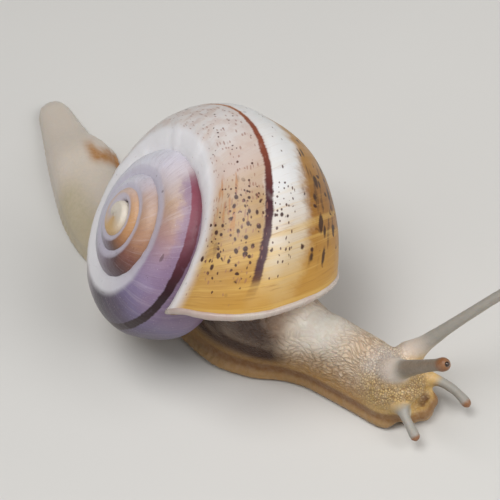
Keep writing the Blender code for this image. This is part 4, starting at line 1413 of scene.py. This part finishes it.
class SnailSkinWishes(bpy.types.PropertyGroup):
    """Sizes and colours of the skin and eyes."""
    mesh_step: length_wish("Mesh step", "Edge length of the skin's mesh", 0.000132)
    neck_tubercle: length_wish("Neck tubercle", "Width of a tubercle on the neck", 0.00027)
    head_tubercle: length_wish("Head tubercle", "Width of a tubercle on the head", 0.00032)
    tubercle_height: length_wish("Tubercle height", "Depth of the grooves between tubercles", 0.00006)
    eye_radius: length_wish("Eye radius", "Radius of an eye bead", 0.00018)
    beige: colour_wish("Neck", "Tubercles of the neck", 214, 189, 158)
    ochre: colour_wish("Flank", "Lower flank", 186, 140, 70)
    cream: colour_wish("Cream", "The tail", 208, 200, 190)
    dusk: colour_wish("Grooves", "Grooves between tubercles", 118, 82, 60)


class SnailShellWishes(bpy.types.PropertyGroup):
    """Sizes and colours of the shell."""
    relief: length_wish("Growth relief", "Height of growth lines and dents", 0.0001)
    white: colour_wish("White", "The white girdle", 228, 227, 226)
    ochre: colour_wish("Ochre", "The stretch before the mouth", 194, 146, 66)
    umber: colour_wish("Umber", "Dark streaks on the base", 92, 58, 28)
    band: colour_wish("Band", "The spiral band", 138, 76, 56)


class SnailLipWishes(bpy.types.PropertyGroup):
    """Size and colours of the lip."""
    width: length_wish("Width", "Width of the rolled lip", 0.0005)
    white: colour_wish("White", "Porcelain white", 198, 187, 176)
    rose: colour_wish("Rose", "Rose tinge", 186, 164, 156)


class SnailMantleWishes(bpy.types.PropertyGroup):
    """Colour of the collar."""
    flesh: colour_wish("Flesh", "Collar flesh", 168, 124, 82)


class SnailStageWishes(bpy.types.PropertyGroup):
    """Floor and light."""
    floor: colour_wish("Floor", "Pale floor", 214, 212, 208)
    key: power_wish("Key light", "Power of the key light", 0.67)
    sky: power_wish("Sky light", "Power of the overhead light", 0.64)
    fill: power_wish("Fill light", "Power of the front light", 0.12)
    ambient: FloatProperty(name="Ambient", description="Strength of the surrounding light", default=0.08)


class SNAIL_OT_skin(bpy.types.Operator):
    """Make the soft body as one skin"""
    bl_idname = "snail.skin"
    bl_label = "Skin"

    def execute(self, context):
        make_skin()
        return {"FINISHED"}


class SNAIL_OT_shell(bpy.types.Operator):
    """Make the coiled shell"""
    bl_idname = "snail.shell"
    bl_label = "Shell"

    def execute(self, context):
        make_shell()
        return {"FINISHED"}


class SNAIL_OT_lip(bpy.types.Operator):
    """Make the rolled lip of the mouth"""
    bl_idname = "snail.lip"
    bl_label = "Lip"

    def execute(self, context):
        make_lip()
        return {"FINISHED"}


class SNAIL_OT_mantle(bpy.types.Operator):
    """Make the mantle collar"""
    bl_idname = "snail.mantle"
    bl_label = "Mantle collar"

    def execute(self, context):
        make_mantle()
        return {"FINISHED"}


class SNAIL_OT_eyes(bpy.types.Operator):
    """Make both eyes"""
    bl_idname = "snail.eyes"
    bl_label = "Eyes"

    def execute(self, context):
        make_eyes()
        return {"FINISHED"}


class SNAIL_OT_stage(bpy.types.Operator):
    """Make the floor, the lights and the camera"""
    bl_idname = "snail.stage"
    bl_label = "Stage"

    def execute(self, context):
        make_stage()
        return {"FINISHED"}


OPERATORS = (SNAIL_OT_skin, SNAIL_OT_shell, SNAIL_OT_lip, SNAIL_OT_mantle, SNAIL_OT_eyes, SNAIL_OT_stage)
WISHES = {"snail_skin": SnailSkinWishes, "snail_shell": SnailShellWishes, "snail_lip": SnailLipWishes,
          "snail_mantle": SnailMantleWishes, "snail_stage": SnailStageWishes}


class SNAIL_PT_panel(bpy.types.Panel):
    """The snail's pieces and their settings"""
    bl_idname = "SNAIL_PT_panel"
    bl_label = "Banded land snail"
    bl_space_type = "VIEW_3D"
    bl_region_type = "UI"
    bl_category = "Snail"

    def draw(self, context):
        for operator in OPERATORS:
            self.layout.operator(operator.bl_idname)
        for name, group in WISHES.items():
            box = self.layout.box()
            for field in group.__annotations__:
                box.prop(getattr(context.scene, name), field)


def register():
    """Registers the settings, the operators and the panel."""
    for name, group in WISHES.items():
        bpy.utils.register_class(group)
        setattr(bpy.types.Scene, name, PointerProperty(type=group))
    for operator in OPERATORS:
        bpy.utils.register_class(operator)
    bpy.utils.register_class(SNAIL_PT_panel)


def unregister():
    """Takes everything back that register added."""
    bpy.utils.unregister_class(SNAIL_PT_panel)
    for operator in reversed(OPERATORS):
        bpy.utils.unregister_class(operator)
    for name, group in WISHES.items():
        delattr(bpy.types.Scene, name)
        bpy.utils.unregister_class(group)


def main():
    """Registers the add-on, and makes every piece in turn."""
    register()
    for make in (bpy.ops.snail.skin, bpy.ops.snail.shell, bpy.ops.snail.lip, bpy.ops.snail.mantle,
                 bpy.ops.snail.eyes, bpy.ops.snail.stage):
        make()


if __name__ == "__main__":
    main()
